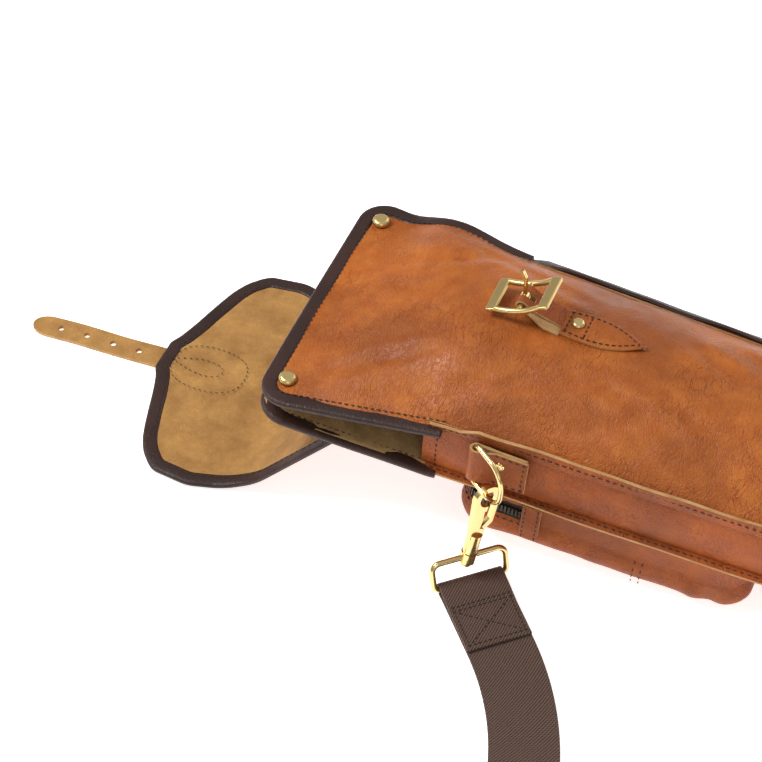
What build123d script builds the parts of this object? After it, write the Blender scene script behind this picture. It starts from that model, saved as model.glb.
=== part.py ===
from build123d import *
import os
from math import atan, cos, radians, sin

# A soft leather cue case lying on its back, with its flap open and its shoulder strap on the floor.
# World frame: +X runs from the mouth to the base, -Y is the side with the pocket zip's end and the
# strap, +Z is up and the floor is z = 0. The case frame is tipped about Y, because the case rests
# on the base's lower edge and on the far bottom edge of the pocket under it.

# Driving dimensions, millimetres. Stations along the case: distance from the mouth, half width at
# the seams, height of the seam above the back, and crown of the front panel above the seam.
LENGTH = 800
LEATHER = 2.4
GUSSET = 39
SEAM_START = 104
STATIONS = [
    (8, 82.4, 27, 1),
    (45, 77, 32, 12),
    (104, 70.4, 39, 25),
    (170, 69.5, 39, 27),
    (300, 65.5, 39, 26),
    (550, 56.5, 38.5, 22),
    (796, 47.5, 38, 15),
]
MOUTH_HALF = 90
VENT_HALF = 78
VENT_LENGTH = 102
MOUTH_ROUND = 20
BINDING = 7
BINDING_THICK = 4.6
FRONT_LIP = 26
BACK_LIP = 14.5
CAP_SPOT = (14, 70)
CAP_DIAMETER = 10.5
STUD_SHANK = 2.6
STUD_HOLE = 2.7
SEAT_RADIUS = 4.6

POCKET_START = 124
POCKET_END = 296
POCKET_DEEP = 40
POCKET_ROUND = 18
ZIP_TOP = 7
ZIP_TALL = 12
ZIP_REACH = 40

BASE_WALL = 2.3
BUCKLE_SPOT = (125, 9)
BUCKLE_LONG = 40
BUCKLE_WIDE = 27
BUCKLE_TILT = 27
BAR_HEIGHT = 74.5
BAR_RADIUS = 1.6
PRONG_LONG = 21

RING_NEAR = (132, -77.4, 26)
RING_FAR = (650, -60.6, 26)
RING_BAR = 30
RING_REACH = 27
RING_WIRE = 1.5
RING_SWING = 36
TAB_LONG = 31
TAB_TALL = 25.5

HOOK_HOLE = 5.5
HOOK_RIM = 3.4
HOOK_THICK = 3.6
LOOP_INNER = 41
LOOP_DEEP = 17.8
LOOP_WIRE = 1.8
WEBBING = 40
WEB_THICK = 2

FLAP_MIDDLE = -8
FLAP_HINGE = 50
FLAP_BEND = -8
FLAP_TIP = -98
FLAP_LIFT = 1.7
FLAP_BINDING = 8
FLAP_FOLD = 58
BILLET_LONG = 88
BILLET_WIDE = 16
HOLE_PITCH = 18

GAP = 0.15

# The exported origin: on the floor, under the middle of the whole object's box.
MIDDLE = (307.3, -178.7, 0)

os.makedirs("parts", exist_ok=True)

TILT = atan((POCKET_DEEP - BASE_WALL - GAP) / (LENGTH - POCKET_END))
RISE = POCKET_END * sin(TILT) + POCKET_DEEP * cos(TILT)
CASE = Plane(origin=(0, 0, RISE), x_dir=(cos(TILT), 0, -sin(TILT)), z_dir=(sin(TILT), 0, cos(TILT)))


def place(x, y, z):
    """A point of the case frame, in the world frame."""
    return CASE.from_local_coords(Vector(x, y, z))


def station(x):
    """A section across the case: its X is across, its Y is up, and it looks to the base."""
    return Plane(origin=place(x, 0, 0), x_dir=CASE.y_dir, z_dir=CASE.x_dir)


def level(height):
    """A plane along the case's back, raised by height."""
    return CASE.offset(height)


def side(y):
    """A plane along the case's side: its X runs to the base, its Y is up, and it looks to -Y."""
    return Plane(origin=place(0, y, 0), x_dir=CASE.x_dir, z_dir=-CASE.y_dir)


def seam(x, column=1):
    """The half width, or another column of STATIONS, at a distance along the case."""
    for low, high in zip(STATIONS, STATIONS[1:]):
        if x <= high[0]:
            share = (x - low[0]) / (high[0] - low[0])
            return low[column] + share * (high[column] - low[column])
    return STATIONS[-1][column]


def save(piece, name):
    """Labels a finished piece, moves it to the exported origin and writes its STEP file."""
    piece.part.label = name
    export_step(piece.part.moved(Location(MIDDLE).inverse()), f"parts/{name}.step")


def curved_strip(plane, start, end, bulge, shift):
    """A thin section: an arc from start to end that rises by bulge, and the same arc moved by shift."""
    a, b, s = Vector(*start), Vector(*end), Vector(*shift)
    m = (a + b) / 2 + Vector(*bulge)
    with BuildSketch(plane) as section:
        with BuildLine():
            ThreePointArc(a, m, b)
            Line(b, b + s)
            ThreePointArc(b + s, m + s, a + s)
            Line(a + s, a)
        make_face()
    return section.sketch


# Lip bindings: flat bands round the mouth and down both side vents, one on each panel.
def lip_band(height, slope, inset, thick):
    """The band from the lip's edge inwards by inset, centred on the lip's own sloping plane."""
    plane = Plane(
        origin=place(0, 0, height),
        x_dir=CASE.x_dir * cos(slope) + CASE.z_dir * sin(slope),
        z_dir=CASE.z_dir * cos(slope) - CASE.x_dir * sin(slope),
    )
    with BuildPart() as band:
        with BuildSketch(plane.offset(-thick / 2)):
            for edge, mode in [(0, Mode.ADD), (inset, Mode.SUBTRACT)]:
                with BuildSketch(mode=mode) as outline:
                    with BuildLine():
                        Polyline(
                            (VENT_LENGTH + edge, VENT_HALF - edge),
                            (edge, MOUTH_HALF - edge),
                            (edge, edge - MOUTH_HALF),
                            (VENT_LENGTH + edge, edge - VENT_HALF),
                            close=True,
                        )
                    make_face()
                    fillet(outline.vertices().sort_by(Axis.X)[:2], MOUTH_ROUND - edge)
        extrude(amount=thick)
    return band


FRONT_SLOPE = atan((GUSSET - FRONT_LIP) / VENT_LENGTH)
BACK_SLOPE = -atan((BACK_LIP - BINDING_THICK / 2 - GAP) / VENT_LENGTH)
front_lip_binding = lip_band(FRONT_LIP, FRONT_SLOPE, BINDING, BINDING_THICK)
save(front_lip_binding, "front_lip_binding")
back_lip_binding = lip_band(BACK_LIP, BACK_SLOPE, BINDING, BINDING_THICK)
save(back_lip_binding, "back_lip_binding")

# Body of the case: the crowned front panel, the flat back panel, and a gusset down each side.
with BuildPart() as front_panel:
    for x, half, edge, crown in STATIONS:
        add(curved_strip(station(x), (-half, edge), (half, edge), (0, crown), (0, -LEATHER)))
    loft(ruled=True)
    add(lip_band(FRONT_LIP, FRONT_SLOPE, BINDING + GAP, 40).part, mode=Mode.SUBTRACT)
    with BuildSketch(level(0)):
        with Locations((CAP_SPOT[0], CAP_SPOT[1]), (CAP_SPOT[0], -CAP_SPOT[1])):
            Circle(STUD_HOLE)
    extrude(amount=60, mode=Mode.SUBTRACT)
save(front_panel, "front_panel")

BACK_STATIONS = [(8, BACK_LIP - 1.1 - LEATHER / 2), (SEAM_START, 0), (LENGTH - 4, 0)]
with BuildPart() as back_panel:
    for x, bottom in BACK_STATIONS:
        with BuildSketch(station(x)):
            with Locations((0, bottom + LEATHER / 2)):
                Rectangle(2 * seam(x), LEATHER)
    loft(ruled=True)
    add(lip_band(BACK_LIP, BACK_SLOPE, BINDING + GAP, 20).part, mode=Mode.SUBTRACT)
    with BuildSketch(level(0)):
        with Locations((CAP_SPOT[0], CAP_SPOT[1]), (CAP_SPOT[0], -CAP_SPOT[1])):
            Circle(STUD_HOLE)
    extrude(amount=60, mode=Mode.SUBTRACT)
save(back_panel, "back_panel")

GUSSET_STATIONS = [SEAM_START, 170, 300, 550, LENGTH - 9]
for name, way, bulge in [("near_gusset", -1, 3), ("far_gusset", 1, 11)]:
    with BuildPart() as gusset:
        for x in GUSSET_STATIONS:
            outer = way * (seam(x) - 0.2)
            swell = bulge if x < LENGTH - 60 else 0.4
            low, high = LEATHER + GAP, seam(x, 2) - LEATHER - GAP
            add(curved_strip(station(x), (outer, low), (outer, high), (way * swell, 0), (-way * 2, 0)))
        loft(ruled=True)
    save(gusset, name)

# Base: a stiff end wall in the shape of the section, and a binding round its edge.
BASE_HALF = STATIONS[-1][1]
BASE_EDGE = STATIONS[-1][2]
BASE_TOP = BASE_EDGE + STATIONS[-1][3]

with BuildSketch() as base_outline:
    with BuildLine():
        Polyline((-BASE_HALF, BASE_EDGE), (-BASE_HALF, 0), (BASE_HALF, 0), (BASE_HALF, BASE_EDGE))
        ThreePointArc((BASE_HALF, BASE_EDGE), (0, BASE_TOP), (-BASE_HALF, BASE_EDGE))
    make_face()

with BuildPart() as base_panel:
    with BuildSketch(station(LENGTH - 4 + GAP)):
        add(base_outline.sketch)
    extrude(amount=4 - GAP)
save(base_panel, "base_panel")

with BuildPart() as base_binding:
    with BuildSketch(station(LENGTH - 8)):
        offset(base_outline.sketch, amount=BASE_WALL + GAP, kind=Kind.ARC)
        offset(base_outline.sketch, amount=GAP, kind=Kind.ARC, mode=Mode.SUBTRACT)
    extrude(amount=8)
save(base_binding, "base_binding")


# Seam flanges: upright along the top of each gusset, lying flat along its foot.
FLANGES = [
    ("near_top_welt", -1, 2.2, 7, GUSSET - 2),
    ("near_low_welt", -1, 4.6, 2.2, 0.2),
    ("far_top_welt", 1, 2.2, 5.5, GUSSET - 2),
    ("far_low_welt", 1, 4, 2.2, 0.2),
]
for name, way, wide, tall, foot in FLANGES:
    with BuildPart() as welt:
        for x in [SEAM_START + 2, 170, 300, 550, LENGTH - 9]:
            middle = way * (seam(x) + 0.8 + wide / 2)
            lift = foot + tall / 2 + (seam(x, 2) - GUSSET if foot > 10 else 0)
            with BuildSketch(station(x)):
                with Locations((middle, lift)):
                    Rectangle(wide, tall)
        loft(ruled=True)
    save(welt, name)


def dome(spot, radius, height, shank, depth):
    """A domed head on spot's plane, with a shank that goes down from it."""
    with BuildPart() as head:
        with BuildSketch(spot):
            Circle(radius)
        extrude(amount=height)
        fillet(head.faces().sort_by(Axis(spot.origin, spot.z_dir))[-1].edges(), height * 0.92)
        with BuildSketch(spot):
            Circle(shank)
        extrude(amount=-depth)
    return head.part


def case_spot(x, y, z):
    """A plane that lies along the case at one of its points."""
    return Plane(origin=place(x, y, z), x_dir=CASE.x_dir, z_dir=CASE.z_dir)


# Domed brass press studs at the mouth's corners, and their seats on the back panel.
CAP_TOP = FRONT_LIP + 4.3
SEAT_TOP = BACK_LIP + 0.6
with BuildPart() as mouth_caps:
    for way in (1, -1):
        add(dome(case_spot(CAP_SPOT[0], way * CAP_SPOT[1], CAP_TOP), CAP_DIAMETER / 2, 2.6, STUD_SHANK, 7))
save(mouth_caps, "mouth_caps")

with BuildPart() as mouth_seats:
    for way in (1, -1):
        add(dome(case_spot(CAP_SPOT[0], way * CAP_SPOT[1], SEAT_TOP), SEAT_RADIUS, 2, STUD_SHANK, 4.5))
        with BuildSketch(case_spot(CAP_SPOT[0], way * CAP_SPOT[1], SEAT_TOP - 4.4)):
            Circle(SEAT_RADIUS)
        extrude(amount=-1)
save(mouth_seats, "mouth_seats")

# Pocket under the case: a tray that opens to the back panel, cut round its mouth end by the zip.
POCKET_TOP = -GAP
with BuildSketch() as pocket_outline:
    with BuildLine():
        Polyline(
            (POCKET_START, seam(POCKET_START) + 1),
            (POCKET_START, -seam(POCKET_START) - 1),
            (POCKET_END, -seam(POCKET_END) - 1),
            (POCKET_END, seam(POCKET_END) + 1),
            close=True,
        )
    make_face()
    fillet(pocket_outline.vertices(), POCKET_ROUND)

with BuildPart() as pocket:
    with BuildSketch(level(POCKET_TOP)):
        add(pocket_outline.sketch)
    extrude(amount=POCKET_TOP - POCKET_DEEP)
    floor_face = pocket.faces().filter_by(GeomType.PLANE).sort_by(Axis(CASE.origin, CASE.z_dir))[0]
    fillet(floor_face.edges(), 7)
    top_face = pocket.faces().filter_by(GeomType.PLANE).sort_by(Axis(CASE.origin, CASE.z_dir))[-1]
    offset(amount=-LEATHER, openings=top_face)
    with BuildSketch(level(-ZIP_TOP)):
        with Locations((POCKET_START - 10, 0)):
            Rectangle(10 + ZIP_REACH, 200, align=(Align.MIN, Align.CENTER))
    extrude(amount=-ZIP_TALL, mode=Mode.SUBTRACT)
save(pocket, "pocket")

with BuildPart() as zip_tape:
    with BuildSketch(level(-ZIP_TOP - GAP)):
        offset(pocket_outline.sketch, amount=-0.6)
        offset(pocket_outline.sketch, amount=-2.2, mode=Mode.SUBTRACT)
        with Locations((POCKET_START + ZIP_REACH - GAP, 0)):
            Rectangle(300, 200, align=(Align.MIN, Align.CENTER), mode=Mode.SUBTRACT)
    extrude(amount=-ZIP_TALL + 2 * GAP)
save(zip_tape, "zip_tape")

END_TAB_AT = POCKET_START + ZIP_REACH + 4.5
with BuildPart() as zip_end_tabs:
    for way in (1, -1):
        wall = Plane(origin=place(END_TAB_AT, way * (seam(END_TAB_AT - 6) + 1.2), -17), x_dir=CASE.x_dir,
                     z_dir=CASE.y_dir * way)
        with BuildSketch(wall):
            RectangleRounded(11, 28, 2)
        extrude(amount=1.8)
save(zip_end_tabs, "zip_end_tabs")

# Zip slider and its puller, on the straight stretch across the pocket's mouth end.
SLIDER_AT = 24
SLIDER_LEVEL = -ZIP_TOP - ZIP_TALL / 2
SLIDER_SPOT = place(POCKET_START + 0.6, SLIDER_AT, SLIDER_LEVEL)
ZIP_FACE = Plane(origin=SLIDER_SPOT, x_dir=CASE.y_dir, z_dir=-CASE.x_dir)
with BuildPart() as zip_slider:
    with BuildSketch(ZIP_FACE.offset(0.3)):
        RectangleRounded(11, 8, 2.5)
    extrude(amount=2.4)
    with BuildSketch(ZIP_FACE.offset(2.7)):
        with Locations((-3.2, 0), (3.2, 0)):
            Rectangle(1.6, 3.4)
    extrude(amount=3.3)
    with BuildSketch(ZIP_FACE.offset(5.2)):
        Rectangle(8, 3.4)
    extrude(amount=0.8)
save(zip_slider, "zip_slider")

with BuildPart() as zip_puller:
    with BuildSketch(ZIP_FACE.offset(3.35)):
        with Locations((12.5, 0)):
            SlotOverall(26, 7)
        with Locations((3.2, 0)):
            Rectangle(3.4, 4.4, mode=Mode.SUBTRACT)
    extrude(amount=1)
save(zip_puller, "zip_puller")

# Centre-bar buckle. Its frame is tipped, so that the end bar nearer the base stands up.
PIVOT = place(*BUCKLE_SPOT, BAR_HEIGHT)
TIP = radians(BUCKLE_TILT)
BUCKLE = Plane(
    origin=PIVOT,
    x_dir=CASE.x_dir * cos(TIP) + CASE.z_dir * sin(TIP),
    z_dir=CASE.z_dir * cos(TIP) - CASE.x_dir * sin(TIP),
)
BAR_DROP = 2.6
ROD = 1.7
END_BAR = 6.5
ROD_AT = BUCKLE_WIDE / 2 - ROD
ROD_REACH = BUCKLE_LONG / 2 - END_BAR + 1
with BuildPart() as buckle_frame:
    with BuildSketch(BUCKLE.offset(BAR_DROP - 1.2)):
        for way in (1, -1):
            with Locations((way * (BUCKLE_LONG - END_BAR) / 2, 0)):
                RectangleRounded(END_BAR, BUCKLE_WIDE, 1.6)
    extrude(amount=2.4)
    fillet(buckle_frame.edges().filter_by(GeomType.LINE), 0.7)
    for way in (1, -1):
        rod_plane = Plane(BUCKLE.from_local_coords((0, way * ROD_AT, 0)), BUCKLE.x_dir, -BUCKLE.y_dir)
        with BuildLine(rod_plane) as rod_path:
            ThreePointArc((-ROD_REACH, BAR_DROP), (0, 0), (ROD_REACH, BAR_DROP))
        with BuildSketch(Plane(origin=rod_path.line @ 0, z_dir=rod_path.line % 0)):
            Circle(ROD)
        sweep(path=rod_path.line)
    bar_plane = Plane(BUCKLE.from_local_coords((0, -ROD_AT, 0)), BUCKLE.x_dir, BUCKLE.y_dir)
    with BuildSketch(bar_plane):
        Circle(BAR_RADIUS)
    extrude(amount=2 * ROD_AT)
save(buckle_frame, "buckle_frame")

# Prong: an eye that turns on the bar, and a pin that stands up with a hooked tip.
PRONG = Plane(origin=PIVOT, x_dir=(1, 0, 0), z_dir=(0, -1, 0))
with BuildPart() as buckle_prong:
    with BuildSketch(PRONG.offset(-1.5)):
        Circle(3.3)
        Circle(BAR_RADIUS + 0.12, mode=Mode.SUBTRACT)
    extrude(amount=3)
    with BuildLine(PRONG) as pin_path:
        Polyline((0, 2.4), (-0.4, PRONG_LONG - 5), (-2.6, PRONG_LONG))
    with BuildSketch(Plane(origin=pin_path.line @ 0, z_dir=pin_path.line % 0)):
        Circle(1.2)
    sweep(path=pin_path.line, transition=Transition.ROUND)
    with BuildSketch(PRONG.offset(-1.5)):
        Circle(BAR_RADIUS + 0.12)
    extrude(amount=3, mode=Mode.SUBTRACT)
save(buckle_prong, "buckle_prong")

# Chape: a strap folded round the buckle's bar, sewn down under a leaf-shaped patch.
CHAPE_WIDE = 15
PATCH_START = 150
PATCH_END = 199
PATCH_FOOT = 66.3
CHAPE_SIDE = side(BUCKLE_SPOT[1] + CHAPE_WIDE / 2)
with BuildPart() as buckle_chape:
    with BuildSketch(CHAPE_SIDE):
        with BuildLine() as chape_path:
            Polyline((PATCH_START - 0.4, PATCH_FOOT + 0.9), (141, 69.3), (126, BAR_HEIGHT + 2.8))
            ThreePointArc((126, BAR_HEIGHT + 2.8), (122.2, BAR_HEIGHT), (125, BAR_HEIGHT - 2.8))
            Line((125, BAR_HEIGHT - 2.8), (141, 66.7))
        trace(line_width=1.7)
    extrude(amount=CHAPE_WIDE)
    with BuildSketch(level(BAR_HEIGHT - 8)):
        with Locations((BUCKLE_SPOT[0], BUCKLE_SPOT[1])):
            Rectangle(14, 4)
    extrude(amount=16, mode=Mode.SUBTRACT)
save(buckle_chape, "buckle_chape")

PATCH_HALF = 12
with BuildPart() as chape_patch:
    with BuildSketch(level(PATCH_FOOT)):
        with Locations((0, BUCKLE_SPOT[1])):
            with BuildLine():
                Line((PATCH_START, PATCH_HALF - 2), (PATCH_START, 2 - PATCH_HALF))
                for way in (1, -1):
                    Spline(
                        (PATCH_START, way * (PATCH_HALF - 2)),
                        (PATCH_START + 18, way * PATCH_HALF),
                        (PATCH_END, 0),
                    )
            make_face()
        with Locations((PATCH_START + 8, BUCKLE_SPOT[1])):
            Circle(1.6, mode=Mode.SUBTRACT)
    extrude(amount=1.8)
save(chape_patch, "chape_patch")

with BuildPart() as chape_rivet:
    add(dome(case_spot(PATCH_START + 8, BUCKLE_SPOT[1], PATCH_FOOT + 1.9), 3.8, 1.8, 1.45, 1.6))
save(chape_rivet, "chape_rivet")


def wire_loop(plane, points, radii, radius):
    """A closed loop of round wire along a rounded polygon on a plane."""
    with BuildPart() as loop:
        with BuildLine(plane) as path:
            FilletPolyline(*points, radius=radii, close=True)
        wire = path.wires()[0]
        with BuildSketch(Plane(origin=wire @ 0, z_dir=wire % 0)):
            Circle(radius)
        sweep(path=wire)
    return loop.part


# Ring tabs on the near gusset: leather folded round each D-ring's upright bar, with a rivet.
# Towards is +1 where the tab runs from its fold to the base, and -1 where it runs to the mouth.
RIVET_AT = 15
ENDS = [("near", RING_NEAR, 1), ("far", RING_FAR, -1)]
for name, (bar_x, bar_y, bar_z), towards in ENDS:
    with BuildPart() as ring_tab:
        with BuildSketch(level(bar_z - TAB_TALL / 2)):
            with BuildLine() as fold:
                Line((bar_x + towards * TAB_LONG, bar_y + 2.8), (bar_x, bar_y + 2.8))
                ThreePointArc(
                    (bar_x, bar_y + 2.8), (bar_x - towards * 2.8, bar_y), (bar_x, bar_y - 2.8)
                )
                Polyline(
                    (bar_x, bar_y - 2.8),
                    (bar_x + towards * 11, bar_y + 0.95),
                    (bar_x + towards * TAB_LONG, bar_y + 0.95),
                )
            trace(line_width=1.7)
        extrude(amount=TAB_TALL)
        rivet_plane = Plane(
            origin=place(bar_x + towards * RIVET_AT, bar_y, bar_z + 4), x_dir=CASE.x_dir, z_dir=-CASE.y_dir
        )
        with BuildSketch(rivet_plane.offset(-1)):
            Circle(1.4)
        extrude(amount=6, mode=Mode.SUBTRACT)
    save(ring_tab, f"{name}_ring_tab")
    with BuildPart() as tab_rivet:
        add(dome(rivet_plane, 3, 1.6, 1.2, 0.8))
    save(tab_rivet, f"{name}_tab_rivet")

# D-rings: the bar stands in the tab's fold and the bow points along the case and outwards.
SWING = radians(RING_SWING)
CONTACT = 16
FOOT_LEG = RING_BAR / 2
bars = {}
for name, spot, towards in ENDS:
    out = CASE.x_dir * (towards * cos(SWING)) - CASE.y_dir * sin(SWING)
    bars[name] = Plane(origin=place(*spot), x_dir=out, z_dir=out.cross(CASE.z_dir))
    corners = [(0, FOOT_LEG), (RING_REACH, FOOT_LEG), (RING_REACH, -FOOT_LEG), (0, -FOOT_LEG)]
    with BuildPart() as d_ring:
        add(wire_loop(bars[name], corners, [3, 13, 13, 3], RING_WIRE))
    save(d_ring, f"{name}_ring")

# Swivel snap hooks. Each has a loop with a boss, a hook that turns in the boss, and a spring gate.
# A boss is at the loop's upper bar; the hook runs from it to the D-ring's lower leg.
BOSS_NEAR = Vector(139.5, -98.5, 21)
BOSS_FAR = Vector(640, -104, 10.5)
HEADING_NEAR = Vector(cos(radians(48)), -sin(radians(48)), 0)
HEADING_FAR = Vector(-cos(radians(88)), -sin(radians(88)), 0)
BAR_FLOOR = 4.1
loops = {}
for name, boss, heading in [("near", BOSS_NEAR, HEADING_NEAR), ("far", BOSS_FAR, HEADING_FAR)]:
    grip = bars[name].from_local_coords(Vector(CONTACT, -FOOT_LEG + 0.15, 0))
    reach = (grip - boss).length
    axis = (grip - boss).normalized()
    tangent = bars[name].x_dir * cos(radians(9)) + CASE.z_dir * sin(radians(9))
    normal = (tangent - axis * tangent.dot(axis)).normalized()
    hook = Plane(origin=boss, x_dir=axis.cross(normal), z_dir=normal)

    with BuildPart() as snap_hook:
        for low, high, radius in [(-6, -3.8, 3), (-3.9, 3.8, 1.95), (3.7, 17, 4.3)]:
            with BuildSketch(Plane(origin=boss + axis * low, z_dir=axis)):
                Circle(radius)
            extrude(amount=high - low)
        with BuildSketch(hook.offset(-HOOK_THICK / 2)):
            with Locations((0, reach)):
                Circle(HOOK_HOLE + HOOK_RIM)
            Polygon((-4.3, 14), (4.3, 14), (4.3, 20), (1, 22), (0, reach - 7), (-8.6, reach - 2), align=None)
            with Locations((0, reach)):
                Circle(HOOK_HOLE, mode=Mode.SUBTRACT)
            Polygon((0.4, 21.6), (2, reach), (14, reach + 1), (14, 20.5), align=None, mode=Mode.SUBTRACT)
        extrude(amount=HOOK_THICK)
    save(snap_hook, f"{name}_hook")

    with BuildPart() as hook_gate:
        with BuildSketch(hook.offset(-1.5)):
            Polygon(
                (1.6, 22.4),
                (4.8, 20.8),
                (8.4, 25),
                (8.4, reach + 0.2),
                (5.9, reach - 0.2),
                (5.9, 28),
                align=None,
            )
        extrude(amount=3)
    save(hook_gate, f"{name}_gate")

    across = Vector(-heading.Y, heading.X, 0)
    drop = boss.Z - BAR_FLOOR
    run = (LOOP_DEEP**2 - drop**2) ** 0.5 if drop < LOOP_DEEP else 0
    foot = Vector(boss.X + heading.X * run, boss.Y + heading.Y * run, BAR_FLOOR)
    down = (foot - boss).normalized()
    loop_plane = Plane(origin=boss, x_dir=across, z_dir=across.cross(down))
    half, deep = LOOP_INNER / 2 + LOOP_WIRE, (foot - boss).length
    with BuildPart() as strap_loop:
        corners = [(half, 0), (half, deep), (-half, deep), (-half, 0)]
        add(wire_loop(loop_plane, corners, [5, 4, 4, 5], LOOP_WIRE))
        with BuildSketch(Plane(origin=boss - axis * 3.4, z_dir=axis)):
            Circle(4.8)
        extrude(amount=6.8)
        with BuildSketch(Plane(origin=boss - axis * 6, z_dir=axis)):
            Circle(2.1)
        extrude(amount=12, mode=Mode.SUBTRACT)
    save(strap_loop, f"{name}_strap_loop")

    fold_plane = Plane(origin=foot - across * WEBBING / 2, x_dir=heading, z_dir=across)
    up = 1 if fold_plane.y_dir.Z > 0 else -1
    lay = up * (WEB_THICK * 1.5 + 0.15 - BAR_FLOOR)
    with BuildPart() as strap_fold:
        with BuildSketch(fold_plane):
            with BuildLine():
                ThreePointArc((0, -up * 3.1), (-3.1, 0), (0, up * 3.1))
                Polyline((0, up * 3.1), (24, lay), (46, lay))
            trace(line_width=1.9)
        extrude(amount=WEBBING)
    save(strap_fold, f"{name}_strap_fold")
    loops[name] = foot

# Shoulder strap: webbing that lies flat on the floor in one wide bend, doubled back from the far
# loop to a slide bar.
near_start = loops["near"] + HEADING_NEAR * 0.6
near_turn = loops["near"] + HEADING_NEAR * 111
far_start = loops["far"] + HEADING_FAR * 0.6
far_turn = loops["far"] + HEADING_FAR * 111
STRAP_SPREAD = -420
SLIDE_AT = 430
near_corner = Vector(236, STRAP_SPREAD, 0)
far_corner = Vector(600, STRAP_SPREAD, 0)


def on_floor(points):
    """The points of a route, each as X and Y."""
    return [(point.X, point.Y) for point in points]


with BuildPart() as strap_webbing:
    with BuildSketch(Plane.XY):
        with BuildLine():
            route = [near_start, near_turn, near_corner, far_corner, far_turn, far_start]
            FilletPolyline(*on_floor(route), radius=[190, 140, 140, 280])
        trace(line_width=WEBBING)
    extrude(amount=WEB_THICK)
save(strap_webbing, "strap_webbing")

with BuildPart() as strap_return:
    with BuildSketch(Plane.XY.offset(WEB_THICK + GAP)):
        with BuildLine():
            return_end = loops["far"] + HEADING_FAR * 48
            route = [Vector(SLIDE_AT, STRAP_SPREAD, 0), far_corner, far_turn, return_end]
            FilletPolyline(*on_floor(route), radius=[140, 280])
        trace(line_width=WEBBING)
    extrude(amount=WEB_THICK)
save(strap_return, "strap_return")

with BuildPart() as strap_slide:
    with BuildSketch(Plane.XY.offset(2 * WEB_THICK + 2 * GAP)):
        with Locations((SLIDE_AT + 6, STRAP_SPREAD)):
            RectangleRounded(30, WEBBING + 10, 4)
            with GridLocations(12, 1, 2, 1):
                Rectangle(8, WEBBING + 2, mode=Mode.SUBTRACT)
    extrude(amount=2.6)
    fillet(strap_slide.edges().filter_by(Axis.Z, reverse=True), 0.6)
save(strap_slide, "strap_slide")


# Flap: sewn under the back panel, it drops to the floor and lies flat there, suede side up. It is
# one sheet of leather that bends at three places, with a binding round its free edge.
def back_foot(x):
    """The height of the back panel's outer face near the mouth, in the case frame."""
    return BACK_STATIONS[0][1] * (SEAM_START - x) / (SEAM_START - BACK_STATIONS[0][0])


SEAM_STRIP = 16
with BuildPart() as flap_seam_strip:
    for x in (FLAP_HINGE + 2, FLAP_HINGE + 2 + SEAM_STRIP):
        with BuildSketch(station(x)):
            with Locations((FLAP_MIDDLE / 2, back_foot(x) - GAP - LEATHER / 2)):
                Rectangle(142, LEATHER)
    loft(ruled=True)
save(flap_seam_strip, "flap_seam_strip")

HINGE = place(FLAP_HINGE, FLAP_MIDDLE, back_foot(FLAP_HINGE) - 1.6)
BEND = Vector(FLAP_BEND, FLAP_MIDDLE, FLAP_LIFT + LEATHER / 2)
FALL = (BEND - HINGE).normalized()
DROP = (BEND - HINGE).length
SLOPE = Plane(origin=HINGE, x_dir=FALL, z_dir=FALL.cross(Vector(0, 1, 0)))
HINGE_HALF = 71
BEND_HALF = 85
EASE = 1.35


def slope_half(distance):
    """The flap's half width at a distance down its slope."""
    return HINGE_HALF + (BEND_HALF - HINGE_HALF) * distance / DROP


for name, start, end in [("flap_root", EASE, FLAP_FOLD - EASE), ("flap_mid", FLAP_FOLD + EASE, DROP - EASE)]:
    a, b = slope_half(start), slope_half(end)
    inner_a, inner_b = a - FLAP_BINDING - GAP, b - FLAP_BINDING - GAP
    with BuildPart() as flap_piece:
        with BuildSketch(SLOPE.offset(-LEATHER / 2)):
            Polygon((start, -inner_a), (end, -inner_b), (end, inner_b), (start, inner_a), align=None)
        extrude(amount=LEATHER)
    save(flap_piece, f"{name}_panel")
    with BuildPart() as flap_edge:
        with BuildSketch(SLOPE.offset(-LEATHER / 2)):
            for way in (1, -1):
                Polygon(
                    (start, way * a),
                    (end, way * b),
                    (end, way * (b - FLAP_BINDING)),
                    (start, way * (a - FLAP_BINDING)),
                    align=None,
                )
        extrude(amount=LEATHER)
    save(flap_edge, f"{name}_binding")

with BuildSketch() as flap_outline:
    with BuildLine():
        Polyline(
            (FLAP_BEND - EASE, FLAP_MIDDLE + BEND_HALF),
            (-50, FLAP_MIDDLE + 91),
            (-84, FLAP_MIDDLE + 72),
            (FLAP_TIP, FLAP_MIDDLE + 10),
            (FLAP_TIP, FLAP_MIDDLE - 10),
            (-84, FLAP_MIDDLE - 72),
            (-50, FLAP_MIDDLE - 91),
            (FLAP_BEND - EASE, FLAP_MIDDLE - BEND_HALF),
            close=True,
        )
    make_face()
    corners = flap_outline.vertices().sort_by(Axis.X)
    fillet(corners[0:2], 8)
    corners = flap_outline.vertices().filter_by(lambda v: abs(v.Y - FLAP_MIDDLE) > 60 and v.X < -40)
    fillet(corners, 20)

FLAP_FOOT = Plane.XY.offset(FLAP_LIFT)
with BuildPart() as flap_panel:
    with BuildSketch(FLAP_FOOT):
        offset(flap_outline.sketch, amount=-FLAP_BINDING - GAP)
        with Locations((FLAP_BEND - EASE, FLAP_MIDDLE)):
            Rectangle(30, 2 * (BEND_HALF - FLAP_BINDING - GAP), align=(Align.MAX, Align.CENTER))
    extrude(amount=LEATHER)
save(flap_panel, "flap_panel")

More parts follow.
